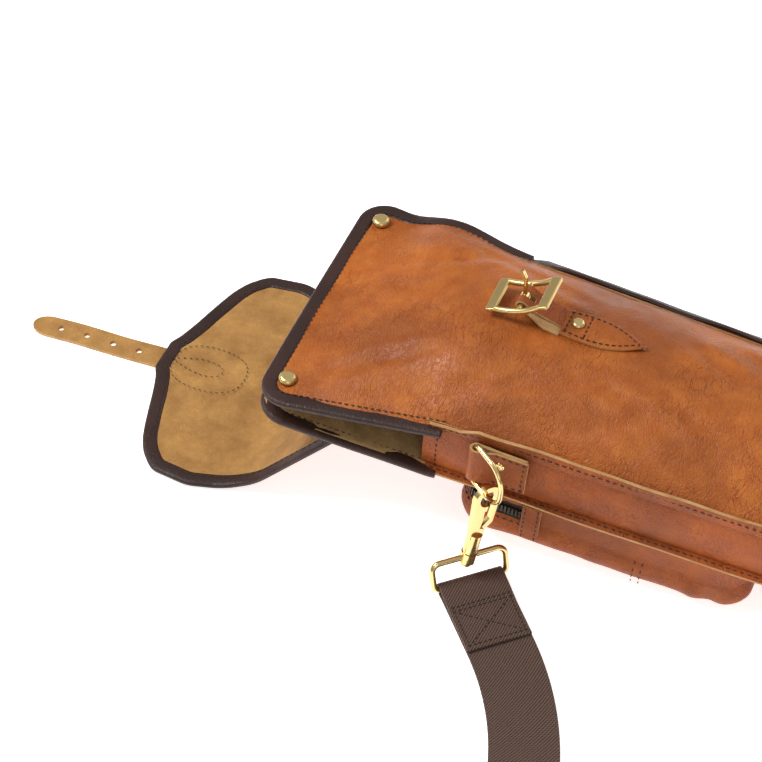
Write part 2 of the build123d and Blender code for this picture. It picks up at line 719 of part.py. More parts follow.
with BuildPart() as flap_binding:
    with BuildSketch(FLAP_FOOT):
        add(flap_outline.sketch)
        offset(flap_outline.sketch, amount=-FLAP_BINDING, mode=Mode.SUBTRACT)
        with Locations((FLAP_BEND, FLAP_MIDDLE)):
            inner = 2 * (BEND_HALF - FLAP_BINDING)
            Rectangle(31, inner, align=(Align.MAX, Align.CENTER), mode=Mode.SUBTRACT)
    extrude(amount=LEATHER)
save(flap_binding, "flap_binding")

with BuildPart() as strap_patch:
    with BuildSketch(Plane.XY):
        with Locations((FLAP_TIP + 24, FLAP_MIDDLE)):
            SlotOverall(46, 22)
    extrude(amount=FLAP_LIFT - GAP)
save(strap_patch, "strap_patch")

# Closure strap: from the flap's tip, with a rounded point and four holes.
BILLET_START = FLAP_TIP - EASE
with BuildPart() as closure_strap:
    with BuildSketch(Plane.XY):
        with BuildLine():
            half = BILLET_WIDE / 2
            end = BILLET_START - BILLET_LONG
            y = FLAP_MIDDLE - 2
            Polyline(
                (end + 11, y + half),
                (BILLET_START, y + half),
                (BILLET_START, y - half),
                (end + 11, y - half),
            )
            Spline(
                (end + 11, y - half), (end, y), (end + 11, y + half), tangents=[(-1, 0), (1, 0)],
            )
        make_face()
        for number in range(4):
            with Locations((end + 19 + number * HOLE_PITCH, y)):
                Circle(2, mode=Mode.SUBTRACT)
    extrude(amount=LEATHER)
save(closure_strap, "closure_strap")
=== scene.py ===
from math import cos, pi, radians, sin

import bmesh
import bpy
import numpy as np
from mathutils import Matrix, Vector, noise


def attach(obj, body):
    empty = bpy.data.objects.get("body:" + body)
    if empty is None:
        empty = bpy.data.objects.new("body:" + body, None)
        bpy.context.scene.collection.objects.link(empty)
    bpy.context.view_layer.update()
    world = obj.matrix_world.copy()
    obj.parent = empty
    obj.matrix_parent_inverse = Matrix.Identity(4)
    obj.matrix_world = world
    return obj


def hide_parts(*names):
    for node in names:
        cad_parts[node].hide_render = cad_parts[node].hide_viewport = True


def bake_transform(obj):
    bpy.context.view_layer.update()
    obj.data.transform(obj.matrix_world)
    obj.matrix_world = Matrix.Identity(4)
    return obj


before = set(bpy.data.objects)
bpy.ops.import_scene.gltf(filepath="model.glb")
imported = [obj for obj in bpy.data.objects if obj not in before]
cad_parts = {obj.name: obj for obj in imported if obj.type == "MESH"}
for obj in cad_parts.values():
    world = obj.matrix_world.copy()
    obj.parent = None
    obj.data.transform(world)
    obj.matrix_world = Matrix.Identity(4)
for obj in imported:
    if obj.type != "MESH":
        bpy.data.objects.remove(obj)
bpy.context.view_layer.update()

# Front panel: one piece of cognac full-grain leather, suede side in. It lies flat at the mouth's lip
# and is crowned over the cues behind it, with the creases and sags of a soft hide. Sizes are in
# millimetres, from the mouth and from the back panel, in directions that lie along the case.
TILT = radians(4.26089)
RISE = 61.8817
MIDDLE = (307.3, -178.7)


def at(x, y, z):
    """Points along the case, in millimetres, as points of the frame, in metres."""
    x, y, z = np.broadcast_arrays(x, y, z)
    east = x * cos(TILT) + z * sin(TILT) - MIDDLE[0]
    high = RISE - x * sin(TILT) + z * cos(TILT)
    return np.stack([east, y - MIDDLE[1], high], axis=-1) / 1000


def ground(x, y, z):
    """Points over the floor, in millimetres, as points of the frame, in metres."""
    x, y, z = np.broadcast_arrays(x, y, z)
    return np.stack([x - MIDDLE[0], y - MIDDLE[1], z], axis=-1) / 1000


def add(tree, kind, settings=None, inputs=None):
    """Adds a node to a tree. An input is a value, or another node's output to link."""
    made = tree.nodes.new(kind)
    for name, value in (settings or {}).items():
        setattr(made, name, value)
    for name, value in (inputs or {}).items():
        if isinstance(value, bpy.types.NodeSocket):
            tree.links.new(value, made.inputs[name])
        else:
            made.inputs[name].default_value = value
    return made


def linear(colour):
    """An sRGB hex colour as linear red, green, blue and alpha."""
    parts = [int(colour[i:i + 2], 16) / 255 for i in (1, 3, 5)]
    return [c / 12.92 if c <= 0.04045 else ((c + 0.055) / 1.055) ** 2.4 for c in parts] + [1.0]


def new_finish(name):
    """A new material, with its tree, its shader, and where each point is on the object."""
    made = bpy.data.materials.new(name)
    made.use_nodes = True
    tree = made.node_tree
    return made, tree, tree.nodes["Principled BSDF"], add(tree, "ShaderNodeTexCoord").outputs["Object"]


def full_grain(name, body, worn, deep, gloss=0.42, crease=1.0):
    """Waxed full-grain leather: pebbled grain, short wrinkles that run across the hide with painted shade in
    their valleys, and patches where the wax has rubbed pale or pooled dark."""
    made, tree, shader, place = new_finish(name)
    # Patches of wax, 60 mm and 14 mm across.
    broad = add(tree, "ShaderNodeTexNoise", {},
                {"Vector": place, "Scale": 16.0, "Detail": 5.0, "Roughness": 0.6})
    spots = add(tree, "ShaderNodeTexNoise", {},
                {"Vector": place, "Scale": 75.0, "Detail": 4.0, "Roughness": 0.65})
    # Wrinkles 4 mm apart and 10 mm long, and finer ones 2.3 mm apart between them. Each is a valley
    # along the middle level of a stretched noise, bent a little on its way.
    warp = add(tree, "ShaderNodeTexNoise", {}, {"Vector": place, "Scale": 34.0, "Detail": 3.0})
    bent = add(tree, "ShaderNodeVectorMath", {"operation": "MULTIPLY_ADD"},
               {0: warp.outputs["Color"], 1: (0.011, 0.011, 0.011), 2: place})
    folds = []
    for turn, stretch, width in ((0.35, (250.0, 105.0, 180.0), 0.05), (-0.5, (430.0, 210.0, 300.0), 0.08)):
        laid = add(tree, "ShaderNodeMapping", {},
                   {"Vector": bent.outputs[0], "Rotation": (0.0, 0.0, turn), "Scale": stretch})
        wrinkle = add(tree, "ShaderNodeTexNoise", {},
                      {"Vector": laid.outputs[0], "Scale": 1.0, "Detail": 2.0})
        level = add(tree, "ShaderNodeMath", {"operation": "SUBTRACT"}, {0: wrinkle.outputs[0], 1: 0.5})
        valley = add(tree, "ShaderNodeMath", {"operation": "ABSOLUTE"}, {0: level.outputs[0]})
        folds.append(add(tree, "ShaderNodeMapRange", {"interpolation_type": "SMOOTHSTEP"},
                         {"Value": valley.outputs[0], "From Min": 0.0, "From Max": width,
                          "To Min": 1.0, "To Max": 0.0}))
    fold, fine_fold = folds
    # They are deep where the hide has flexed, and nearly gone elsewhere.
    flex = add(tree, "ShaderNodeMapRange", {},
               {"Value": warp.outputs[0], "From Min": 0.42, "From Max": 0.62, "To Min": 0.1, "To Max": 0.9})
    depth = add(tree, "ShaderNodeMath", {"operation": "MULTIPLY"}, {0: fold.outputs[0], 1: flex.outputs[0]})
    sunk = add(tree, "ShaderNodeMath", {"operation": "SUBTRACT"}, {0: 1.0, 1: depth.outputs[0]})
    fine_sunk = add(tree, "ShaderNodeMath", {"operation": "SUBTRACT"}, {0: 1.0, 1: fine_fold.outputs[0]})
    # Pebbled grain, 1 mm across.
    pebble = add(tree, "ShaderNodeTexVoronoi", {"feature": "SMOOTH_F1"}, {"Vector": place, "Scale": 950.0})
    worn_at = add(tree, "ShaderNodeMapRange", {},
                  {"Value": spots.outputs[0], "From Min": 0.42, "From Max": 0.75, "To Max": 0.8})
    body_mix = add(tree, "ShaderNodeMix", {"data_type": "RGBA"},
                   {0: worn_at.outputs[0], 6: linear(body), 7: linear(worn)})
    shade = add(tree, "ShaderNodeMapRange", {},
                {"Value": broad.outputs[0], "From Min": 0.36, "From Max": 0.6, "To Min": 0.6, "To Max": 0.0})
    deep_mix = add(tree, "ShaderNodeMix", {"data_type": "RGBA"},
                   {0: shade.outputs[0], 6: body_mix.outputs[2], 7: linear(deep)})
    # Painted shade: the wrinkle valleys are darkened toward the deep colour, as if shade lay in the creases.
    painted_crease_shade = add(tree, "ShaderNodeMath", {"operation": "MULTIPLY"}, {0: depth.outputs[0], 1: 0.3 * crease})
    crease_shade_mix = add(tree, "ShaderNodeMix", {"data_type": "RGBA"},
                     {0: painted_crease_shade.outputs[0], 6: deep_mix.outputs[2], 7: linear(deep)})
    tree.links.new(crease_shade_mix.outputs[2], shader.inputs["Base Color"])
    rough = add(tree, "ShaderNodeMapRange", {},
                {"Value": spots.outputs[0], "From Min": 0.3, "From Max": 0.7,
                 "To Min": gloss - 0.05, "To Max": gloss + 0.15})
    tree.links.new(rough.outputs[0], shader.inputs["Roughness"])
    shader.inputs["Specular IOR Level"].default_value = 0.3
    first = add(tree, "ShaderNodeBump", {},
                {"Strength": 0.6 * crease, "Distance": 0.0006, "Height": sunk.outputs[0]})
    second = add(tree, "ShaderNodeBump", {},
                 {"Strength": 0.6 * crease, "Distance": 0.0003, "Height": fine_sunk.outputs[0],
                  "Normal": first.outputs[0]})
    third = add(tree, "ShaderNodeBump", {},
                {"Strength": 0.3, "Distance": 0.0002, "Height": pebble.outputs["Distance"],
                 "Normal": second.outputs[0]})
    tree.links.new(third.outputs[0], shader.inputs["Normal"])
    return made


def suede(name, body, dark, sheen=0.25):
    """The flesh side of the hide: a short matt nap with paler and darker strokes."""
    made, tree, shader, place = new_finish(name)
    # Clouds 18 mm across where the nap lies differently, and the nap's own strokes, 1.1 mm across.
    cloud = add(tree, "ShaderNodeTexNoise", {},
                {"Vector": place, "Scale": 55.0, "Detail": 6.0, "Roughness": 0.7})
    nap = add(tree, "ShaderNodeTexNoise", {},
              {"Vector": place, "Scale": 900.0, "Detail": 3.0, "Roughness": 0.8})
    tone = add(tree, "ShaderNodeMapRange", {},
               {"Value": cloud.outputs[0], "From Min": 0.35, "From Max": 0.68})
    fleck = add(tree, "ShaderNodeMapRange", {},
                {"Value": nap.outputs[0], "From Min": 0.35, "From Max": 0.7, "To Min": 0.0, "To Max": 0.6})
    mix = add(tree, "ShaderNodeMix", {"data_type": "RGBA"},
              {0: tone.outputs[0], 6: linear(dark), 7: linear(body)})
    mixed = add(tree, "ShaderNodeMix", {"data_type": "RGBA"},
                {0: fleck.outputs[0], 6: mix.outputs[2], 7: linear(dark)})
    tree.links.new(mixed.outputs[2], shader.inputs["Base Color"])
    shader.inputs["Roughness"].default_value = 0.95
    shader.inputs["Sheen Weight"].default_value = sheen
    bump = add(tree, "ShaderNodeBump", {}, {"Strength": 0.7, "Distance": 0.0005, "Height": nap.outputs[0]})
    tree.links.new(bump.outputs[0], shader.inputs["Normal"])
    return made


cognac = full_grain("Waxed full-grain leather, cognac", "#AC5A1C", "#C4732B", "#763810")
raw_edge = suede("Cut leather edge, undyed", "#CDA470", "#A0743F", sheen=0.1)
lining = suede("Suede flesh side, olive tan", "#D2AC72", "#9A7848")
flesh = suede("Suede flesh side, pale", "#D6AC74", "#B08450")


def piece(name, mesh, *finishes):
    """Links a mesh as a smooth piece, with sharp folds kept."""
    for finish in finishes:
        mesh.materials.append(finish)
    made = bpy.data.objects.new(name, mesh)
    bpy.context.scene.collection.objects.link(made)
    mesh.shade_smooth()
    mesh.set_sharp_from_angle(angle=radians(50))
    return made


def slab(name, points, thick, finishes, lift=0.0, closed=False, keep=None, lay=None, round_rim=0.35):
    """A closed sheet of leather or webbing. Rows of points give its outer face; the rim and the inner
    face are made here. Keep says which cells there are, and lay gives each point its place on the cloth."""
    along = np.gradient(points, axis=0)
    if closed:
        along = np.roll(points, -1, 0) - np.roll(points, 1, 0)
    up = np.cross(along, np.gradient(points, axis=1))
    size = np.linalg.norm(up, axis=2)
    for column in range(1, points.shape[1]):
        flat = size[:, column] < 1e-14
        up[flat, column] = up[flat, column - 1]
        size[flat, column] = size[flat, column - 1]
    up /= size[..., None]
    outer = points + up * lift / 1000
    inner = outer - up * thick / 1000
    rows, columns = points.shape[:2]
    index = np.arange(rows * columns).reshape(rows, columns)
    if closed:
        index = np.vstack([index, index[:1]])
    quads = np.stack([index[:-1, :-1], index[1:, :-1], index[1:, 1:], index[:-1, 1:]], axis=-1)
    quads = quads[keep] if keep is not None else quads.reshape(-1, 4)
    shift = rows * columns
    edges = np.concatenate([quads[:, [i, (i + 1) % 4]] for i in range(4)])
    rim = edges[~np.isin(edges[:, 0] * shift + edges[:, 1], edges[:, 1] * shift + edges[:, 0])]
    walls = np.stack([rim[:, 1], rim[:, 0], rim[:, 0] + shift, rim[:, 1] + shift], axis=-1)
    faces = np.concatenate([quads, quads[:, ::-1] + shift, walls])
    mesh = bpy.data.meshes.new(name)
    mesh.from_pydata(np.concatenate([outer.reshape(-1, 3), inner.reshape(-1, 3)]), [], faces.tolist())
    side = np.repeat([0, 2, 1], [len(quads), len(quads), len(walls)])
    mesh.polygons.foreach_set("material_index", np.minimum(side, len(finishes) - 1).astype(np.int32))
    if lay is not None:
        spots = np.concatenate([lay.reshape(-1, 2)] * 2)
        layer = mesh.uv_layers.new(name="lay")
        corner = np.zeros(len(mesh.loops), np.int32)
        mesh.loops.foreach_get("vertex_index", corner)
        layer.data.foreach_set("uv", spots[corner].astype(np.float32).ravel())
    tidy = bmesh.new()
    tidy.from_mesh(mesh)
    bmesh.ops.delete(tidy, geom=[v for v in tidy.verts if not v.link_faces], context="VERTS")
    bmesh.ops.remove_doubles(tidy, verts=tidy.verts, dist=1e-6)
    bmesh.ops.dissolve_degenerate(tidy, edges=tidy.edges, dist=1e-7)
    if tidy.calc_volume(signed=True) < 0:
        bmesh.ops.reverse_faces(tidy, faces=tidy.faces)
    tidy.to_mesh(mesh)
    tidy.free()
    made = piece(name, mesh, *finishes)
    if round_rim:
        edge = made.modifiers.new("Rounded rim", "BEVEL")
        edge.width, edge.segments, edge.angle_limit = round_rim / 1000, 2, radians(50)
        edge.limit_method = "ANGLE"
    return made


def fasten(made, body, finish_slot, *nodes):
    """Fixes a piece to a body and hides the nodes that it stands for; its finish's slot is not used."""
    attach(made, body)
    if nodes:
        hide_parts(*nodes)


# The case's seams, at distances from the mouth: half width, height, and the crown over them.
STATIONS = np.array([
    (0, 81.8, 26, 0.5), (8, 82.4, 27, 1), (45, 77, 32, 12), (104, 70.4, 39, 25), (170, 69.5, 39, 27),
    (300, 65.5, 39, 26), (550, 56.5, 38.5, 22), (796, 47.5, 38, 15), (830, 46.3, 38, 14),
])


def seam(x, column=1, ease=12):
    """The seam's half width, or its height (2), or the crown over it (3), eased from station to station."""
    spread = np.linspace(-ease, ease, 7)
    near = np.asarray(x, float)[..., None] + spread
    return np.interp(near, STATIONS[:, 0], STATIONS[:, column]).mean(axis=-1)


LIP_HALF, LIP_NARROWS, VENT_LONG, LIP_ROUND = 90, 12, 102, 20


def lip_half(x):
    """The mouth lip's half width: widest at the lip, narrower where the vents end, with round corners."""
    x = np.asarray(x, float)
    corner = np.clip(LIP_ROUND - x, 0, LIP_ROUND)
    straight = LIP_HALF - x * LIP_NARROWS / VENT_LONG
    return straight - LIP_ROUND + np.sqrt(np.maximum(LIP_ROUND**2 - corner**2, 0))


def panel_half(x):
    """Where the front panel's edge runs: inside the lip binding, then along the seam."""
    x = np.asarray(x, float)
    share = np.clip((x - 92) / 22, 0, 1)
    share = share * share * (3 - 2 * share)
    return (lip_half(x) - 3) * (1 - share) + seam(x) * share


# Creases pressed into the front, each from one point to another, with its width and depth.
CREASES = [
    ((28, -62), (92, -30), 4.5, 1.3), ((60, -66), (118, -44), 4, 1.2), ((88, -70), (128, -40), 4.5, 1.6),
    ((98, -64), (150, -30), 4, 0.9), ((46, -20), (98, -4), 5, 0.8), ((30, 10), (96, 30), 5, 0.9),
    ((36, 34), (104, 62), 5, 1.2), ((70, 60), (130, 40), 4.5, 1.2), ((110, 52), (168, 30), 5, 1.0),
    ((120, -52), (190, -22), 4, 0.8), ((150, -58), (214, -38), 4, 0.9), ((176, -20), (246, -44), 4, 0.8),
    ((206, -10), (268, -30), 4, 0.7), ((214, 30), (262, 4), 5, 0.9), ((236, 44), (300, 18), 5.5, 1.0),
    ((262, -60), (330, -34), 5, 1.0), ((292, 20), (352, -16), 5, 0.8), ((340, 40), (410, 10), 6, 1.0),
    ((330, -50), (420, -20), 6, 0.9), ((440, 30), (520, -8), 6, 0.9), ((470, -40), (560, -16), 6, 0.9),
    ((590, 26), (660, -6), 6, 0.8), ((640, -34), (730, -12), 6, 0.8),
]


def front_height(x, y):
    """Height of the front panel's outer face."""
    half = seam(x)
    share = np.clip(np.abs(y) / half, 0, 1.1)
    crown = seam(x, 3) * (1 - share**2.3)
    base = seam(x, 2) + crown
    dent = np.zeros_like(base)
    for (ax, ay), (bx, by), wide, deep in CREASES:
        way = np.array([bx - ax, by - ay], float)
        length = np.hypot(*way)
        t = ((x - ax) * way[0] + (y - ay) * way[1]) / length**2
        bow = 5 * np.sin(np.clip(t, 0, 1) * pi) * np.sin(ax)
        off = ((x - ax) * way[1] - (y - ay) * way[0]) / length + bow
        fade = np.clip(1 - np.abs(2 * t - 1) ** 3, 0, 1)
        dent += deep * fade * (-np.exp(-(off / wide)**2) + 0.6 * np.exp(-((off - 1.9 * wide) / wide)**2)
                               + 0.45 * np.exp(-((off + 1.9 * wide) / wide)**2))
    # The far side sags in waves between the seam and the crown.
    sag = np.clip((y / half - 0.35) / 0.5, 0, 1) * np.clip((x - 120) / 60, 0, 1)
    dent += 1.5 * sag * np.sin(x / 13.0 + 1.3 * np.sin(x / 31.0)) * (1 - share**4)
    # The panel humps up along the far vent, and dips beside the near one.
    hump = 7.0 * np.exp(-((x - 62) / 24)**2) * np.clip((y / half - 0.15) / 0.7, 0, 1)
    hump -= 2.5 * np.exp(-((x - 30) / 14)**2) * np.clip((y / half - 0.3) / 0.6, 0, 1)
    hollow = 3.5 * np.exp(-((x - 84) / 20)**2) * np.exp(-((y + 52) / 14)**2)
    return base + hump - hollow + dent * np.clip(1.12 - share**3, 0, 1) * np.clip((x - 6) / 20, 0, 1)


def rumple(points, sizes, seed):
    """Uneven lengths that a hide takes by itself: smooth noise at each size (millimetres, height)."""
    flat = points.reshape(-1, 3) * 1000
    total = np.zeros(len(flat))
    for span, height in sizes:
        total += [height * noise.noise(Vector(p) / span + Vector((seed, 0, 0))) for p in flat]
    return total.reshape(points.shape[:2])


PANEL_START, PANEL_END, PANEL_THICK = 2.5, 796, 2.2
CORNER_END, FINE_END = 20, 320  # The mesh is finest round the lip's corners and fine as far as the pocket.
front_x = np.concatenate([np.linspace(PANEL_START, CORNER_END, 16)[:-1],
                          np.linspace(CORNER_END, FINE_END, 216)[:-1], np.linspace(FINE_END, PANEL_END, 120)])
fx, fv = np.meshgrid(front_x, np.linspace(-1, 1, 101), indexing="ij")
fy = fv * panel_half(fx)
flat_front = at(fx, fy, front_height(fx, fy))
fz = front_height(fx, fy) + rumple(flat_front, [(26, 0.9), (9, 0.35)], 3) * np.clip((fx - 4) / 30, 0, 1)
front = slab("front_panel_leather", at(fx, fy, fz), PANEL_THICK, [cognac, raw_edge, lining], round_rim=0)
fasten(front, "case", "grain_leather", "front_panel")


# Back panel: the same leather, flat, with its suede side in. It shows through the side vents.
back_x = np.linspace(PANEL_START, PANEL_END, 180)
bx, bv = np.meshgrid(back_x, np.linspace(1, -1, 61), indexing="ij")
by = bv * panel_half(bx)
back_rise = np.interp(bx, [0, 8, 104, 110, 800], [13.2, 12.2, 0.2, 0, 0])
bz = back_rise + rumple(at(bx, by, back_rise), [(30, 0.5), (11, 0.2)], 7)
back = slab("back_panel_leather", at(bx, by, bz), PANEL_THICK, [cognac, raw_edge, lining], round_rim=0)
fasten(back, "case", "grain_leather", "back_panel")


# Lip bindings: a strip of very dark brown leather folded over each lip and down both side vents,
# sewn through 5 mm in from the edge with black thread.
def unit(rows):
    """Vectors of length one."""
    return rows / np.linalg.norm(rows, axis=-1, keepdims=True)


def run_of(points, closed=False):
    """The direction of travel at each point of a path."""
    if closed:
        return unit(np.roll(points, -1, 0) - np.roll(points, 1, 0))
    return unit(np.gradient(points, axis=0))


def roll(name, centres, ups, wide, thick, finish, closed=False, sides=14, square=2.4):
    """A closed bar swept along a path: wide (mm) across it, and thick (mm) along ups."""
    travel = run_of(centres, closed)
    across = unit(np.cross(travel, np.broadcast_to(ups, centres.shape)))
    rise = np.cross(across, travel)
    turn = np.linspace(0, 2 * pi, sides, endpoint=False)
    flat = np.sign(np.cos(turn)) * np.abs(np.cos(turn))**(2 / square)
    tall = np.sign(np.sin(turn)) * np.abs(np.sin(turn))**(2 / square)
    half_wide = np.broadcast_to(np.asarray(wide, float) / 2000, len(centres))[:, None, None]
    half_thick = np.broadcast_to(np.asarray(thick, float) / 2000, len(centres))[:, None, None]
    rings = (centres[:, None] + across[:, None] * flat[None, :, None] * half_wide
             + rise[:, None] * tall[None, :, None] * half_thick)
    count = len(centres)
    index = np.arange(count * sides).reshape(count, sides)
    if closed:
        index = np.vstack([index, index[:1]])
    nearer, further = index[:-1], index[1:]
    quads = np.stack([nearer, further, np.roll(further, -1, 1), np.roll(nearer, -1, 1)], axis=-1)
    faces = quads.reshape(-1, 4).tolist()
    if not closed:
        faces += [index[0].tolist(), index[-1][::-1].tolist()]
    mesh = bpy.data.meshes.new(name)
    mesh.from_pydata(rings.reshape(-1, 3), [], faces)
    tidy = bmesh.new()
    tidy.from_mesh(mesh)
    if tidy.calc_volume(signed=True) < 0:
        bmesh.ops.reverse_faces(tidy, faces=tidy.faces)
    tidy.to_mesh(mesh)
    tidy.free()
    return piece(name, mesh, finish)


def stitch_tree(name, tooth):
    """Sets one stitch, or one zip tooth, at every pitch along a seam."""
    tree = bpy.data.node_groups.new(name, "GeometryNodeTree")
    sockets = tree.interface
    sockets.new_socket("Seam", in_out="INPUT", socket_type="NodeSocketGeometry")
    for label in ("Pitch", "Long", "Wide", "High"):
        sockets.new_socket(label, in_out="INPUT", socket_type="NodeSocketFloat")
    sockets.new_socket("Seed", in_out="INPUT", socket_type="NodeSocketInt")
    sockets.new_socket("Finish", in_out="INPUT", socket_type="NodeSocketMaterial")
    sockets.new_socket("Row", in_out="OUTPUT", socket_type="NodeSocketGeometry")
    given = add(tree, "NodeGroupInput").outputs
    line = add(tree, "GeometryNodeMeshToCurve", {}, {"Mesh": given["Seam"]})
    spots = add(tree, "GeometryNodeCurveToPoints", {"mode": "LENGTH"},
                {"Curve": line.outputs["Curve"], "Length": given["Pitch"]})
    turn = add(tree, "FunctionNodeAlignRotationToVector", {"axis": "X"}, {"Vector": spots.outputs["Tangent"]})
    if tooth:
        bead = add(tree, "GeometryNodeMeshCube", {}, {"Size": (1.0, 1.0, 1.0)})
    else:
        bead = add(tree, "GeometryNodeMeshUVSphere", {}, {"Segments": 8, "Rings": 6, "Radius": 0.5})
    size = add(tree, "ShaderNodeCombineXYZ", {},
               {"X": given["Long"], "Y": given["Wide"], "Z": given["High"]})
    shaped = add(tree, "GeometryNodeTransform", {},
                 {"Geometry": bead.outputs["Mesh"], "Scale": size.outputs[0]})
    vary = add(tree, "FunctionNodeRandomValue", {"data_type": "FLOAT_VECTOR"},
               {"Min": (0.9, 0.92, 0.9), "Max": (1.06, 1.08, 1.06), "Seed": given["Seed"]})
    row = add(tree, "GeometryNodeInstanceOnPoints", {},
              {"Points": spots.outputs["Points"], "Instance": shaped.outputs["Geometry"],
               "Rotation": turn.outputs["Rotation"], "Scale": vary.outputs["Value"]})
    real = add(tree, "GeometryNodeRealizeInstances", {}, {"Geometry": row.outputs["Instances"]})
    smooth = add(tree, "GeometryNodeSetShadeSmooth", {},
                 {"Geometry": real.outputs["Geometry"], "Shade Smooth": not tooth})
    done = add(tree, "GeometryNodeSetMaterial", {},
               {"Geometry": smooth.outputs["Geometry"], "Material": given["Finish"]})
    add(tree, "NodeGroupOutput", {}, {"Row": done.outputs["Geometry"]})
    return tree


def seam_row(name, tree, paths, finish, pitch, long, wide, high, seed=1):
    """A plain mesh of stitches or teeth along paths of points, sized in millimetres."""
    mesh = bpy.data.meshes.new(name + "_line")
    count = np.cumsum([0] + [len(path) for path in paths])
    links = [(i, i + 1) for a, b in zip(count[:-1], count[1:]) for i in range(a, b - 1)]
    mesh.from_pydata(np.concatenate(paths), links, [])
    line = bpy.data.objects.new(name + "_line", mesh)
    bpy.context.scene.collection.objects.link(line)
    modifier = line.modifiers.new("Row", "NODES")
    modifier.node_group = tree
    values = {"Pitch": pitch / 1000, "Long": long / 1000, "Wide": wide / 1000, "High": high / 1000,
              "Seed": seed, "Finish": finish}
    for item in tree.interface.items_tree:
        if item.name in values:
            modifier[item.identifier] = values[item.name]
    bpy.context.view_layer.update()
    shaped = bpy.data.meshes.new_from_object(line.evaluated_get(bpy.context.evaluated_depsgraph_get()))
    bpy.data.objects.remove(line)
    shaped.name = name
    made = bpy.data.objects.new(name, shaped)
    bpy.context.scene.collection.objects.link(made)
    return made


stitch_run = stitch_tree("Stitch run", False)
# Dyed smooth leather: near black, with a soft shine and faint grain. On the far gusset and far welts it
# stands in as painted shade.
bound = full_grain("Dyed smooth leather, black brown", "#3A241E", "#3A241E", "#1F1310",
                   gloss=0.38, crease=0.45)


def thread_finish(name, colour):
    """Waxed thread, twisted too finely to show: a little paler on its rise."""
    made, tree, shader, place = new_finish(name)
    twist = add(tree, "ShaderNodeTexNoise", {}, {"Vector": place, "Scale": 1400.0})
    bump = add(tree, "ShaderNodeBump", {}, {"Strength": 0.6, "Distance": 0.0003, "Height": twist.outputs[0]})
    tree.links.new(bump.outputs[0], shader.inputs["Normal"])
    shader.inputs["Base Color"].default_value = linear(colour)
    shader.inputs["Roughness"].default_value = 0.6
    return made


black_thread = thread_finish("Waxed cotton thread, black", "#21160F")


def sew(name, paths, pitch, long, wide, high, body="case", finish_slot="dark_leather"):
    """Sews a run of black stitches along paths, as a piece fixed to a body."""
    fasten(seam_row(name, stitch_run, paths, black_thread, pitch, long, wide, high), body, finish_slot)


def lip_path(inset, end=110):
    """Points along a lip, inset from its outline, from one vent's end round the mouth to the other's."""
    x = np.concatenate([np.linspace(end, 20, 60)[:-1], 20 - 20 * np.sin(np.linspace(0, pi / 2, 24))])
    half = lip_half(x)
    half[-1] = lip_half(0.0)
    outline = np.stack([x, half], axis=-1)
    middle = np.stack([np.zeros(30), np.linspace(half[-1], 0, 31)[1:]], axis=-1)
    outline = np.concatenate([outline, middle])
    travel = run_of(outline)
    inward = np.stack([-travel[:, 1], travel[:, 0]], axis=-1)
    inward *= np.sign((inward * (np.array([60, 0]) - outline)).sum(axis=1, keepdims=True))
    one = outline + inward * inset
    return np.concatenate([one, one[-2::-1] * np.array([1, -1])])


def front_lip_height(x, y):
    """The front lip follows its panel's outer face."""
    return front_height(np.maximum(x, 3), y)


def back_lip_height(x, y):
    """The back lip rises towards the mouth and lies flat across it."""
    return np.interp(x, [0, 8, 104], [14.6, 13.4, 1.6])


CASE_UP = at(0, 0, 1) - at(0, 0, 0)
CASE_UP = CASE_UP / np.linalg.norm(CASE_UP)
LIP_WIDE, LIP_THICK = 10.0, 4.4
for which, height in (("front", front_lip_height), ("back", back_lip_height)):
    line = lip_path(4.6)
    level = height(line[:, 0], line[:, 1]) - 1.1
    wave = 0.35 * np.sin(line[:, 1] / 9.0) + 0.35 * np.sin(line[:, 0] / 11.0)
    centres = at(line[:, 0], line[:, 1], level + wave * 0.5)
    lip = roll(f"{which}_lip_binding_roll", centres, CASE_UP, LIP_WIDE, LIP_THICK, bound,
               sides=20, square=3.2)
    fasten(lip, "case", "dark_leather", f"{which}_lip_binding")
    sewn = lip_path(7.9)
    top = height(sewn[:, 0], sewn[:, 1]) + wave * 0.5 + 0.95  # Just proud of the strip.
    sew(f"{which}_lip_stitches", [at(sewn[:, 0], sewn[:, 1], top)], pitch=3.8, long=2.7, wide=0.75, high=0.7)


# Gussets: a strip of leather down each side between the seams. The near one is cognac; the far one bellies
# out and is drawn in the near-black leather as painted shade on the side turned from the light. Both begin
# where the side vents end.
russet = full_grain("Waxed full-grain leather, russet", "#9E4C1A", "#B66126", "#65300F", gloss=0.45)
SEAM_END, GUSSET_THICK, GUSSET_SEWN_AT = 793, 2.0, 107.5
gusset_x = np.concatenate([np.linspace(99, FINE_END, 120)[:-1], np.linspace(FINE_END, SEAM_END, 90)])
# Painted shade: the far gusset takes the near-black binding leather in place of the near one's russet.
for which, way, swell, finish in (("near", -1, 3.4, russet), ("far", 1, 13.0, bound)):
    tall = np.linspace(0, 1, 25)
    gx, gv = np.meshgrid(gusset_x, tall if way < 0 else tall[::-1], indexing="ij")
    low, high = 1.2, seam(gx, 2) + 1.0
    gz = low + (high - low) * gv
    ease = np.interp(gx, [99, 118, 730, 780], [0.3, 1, 1, 0.1])
    belly = swell * ease * np.sin(pi * gv**(1.0 if way < 0 else 2.0))**0.8
    gy = way * (seam(gx) - 0.2 + belly)
    gy = gy + way * rumple(at(gx, gy, gz), [(28, 0.8), (9, 0.35)], 11) * np.sin(pi * gv)
    wall = slab(f"{which}_gusset_leather", at(gx, gy, gz), GUSSET_THICK, [finish, raw_edge, lining])
    fasten(wall, "case", "grain_leather" if way < 0 else "dark_leather", f"{which}_gusset")


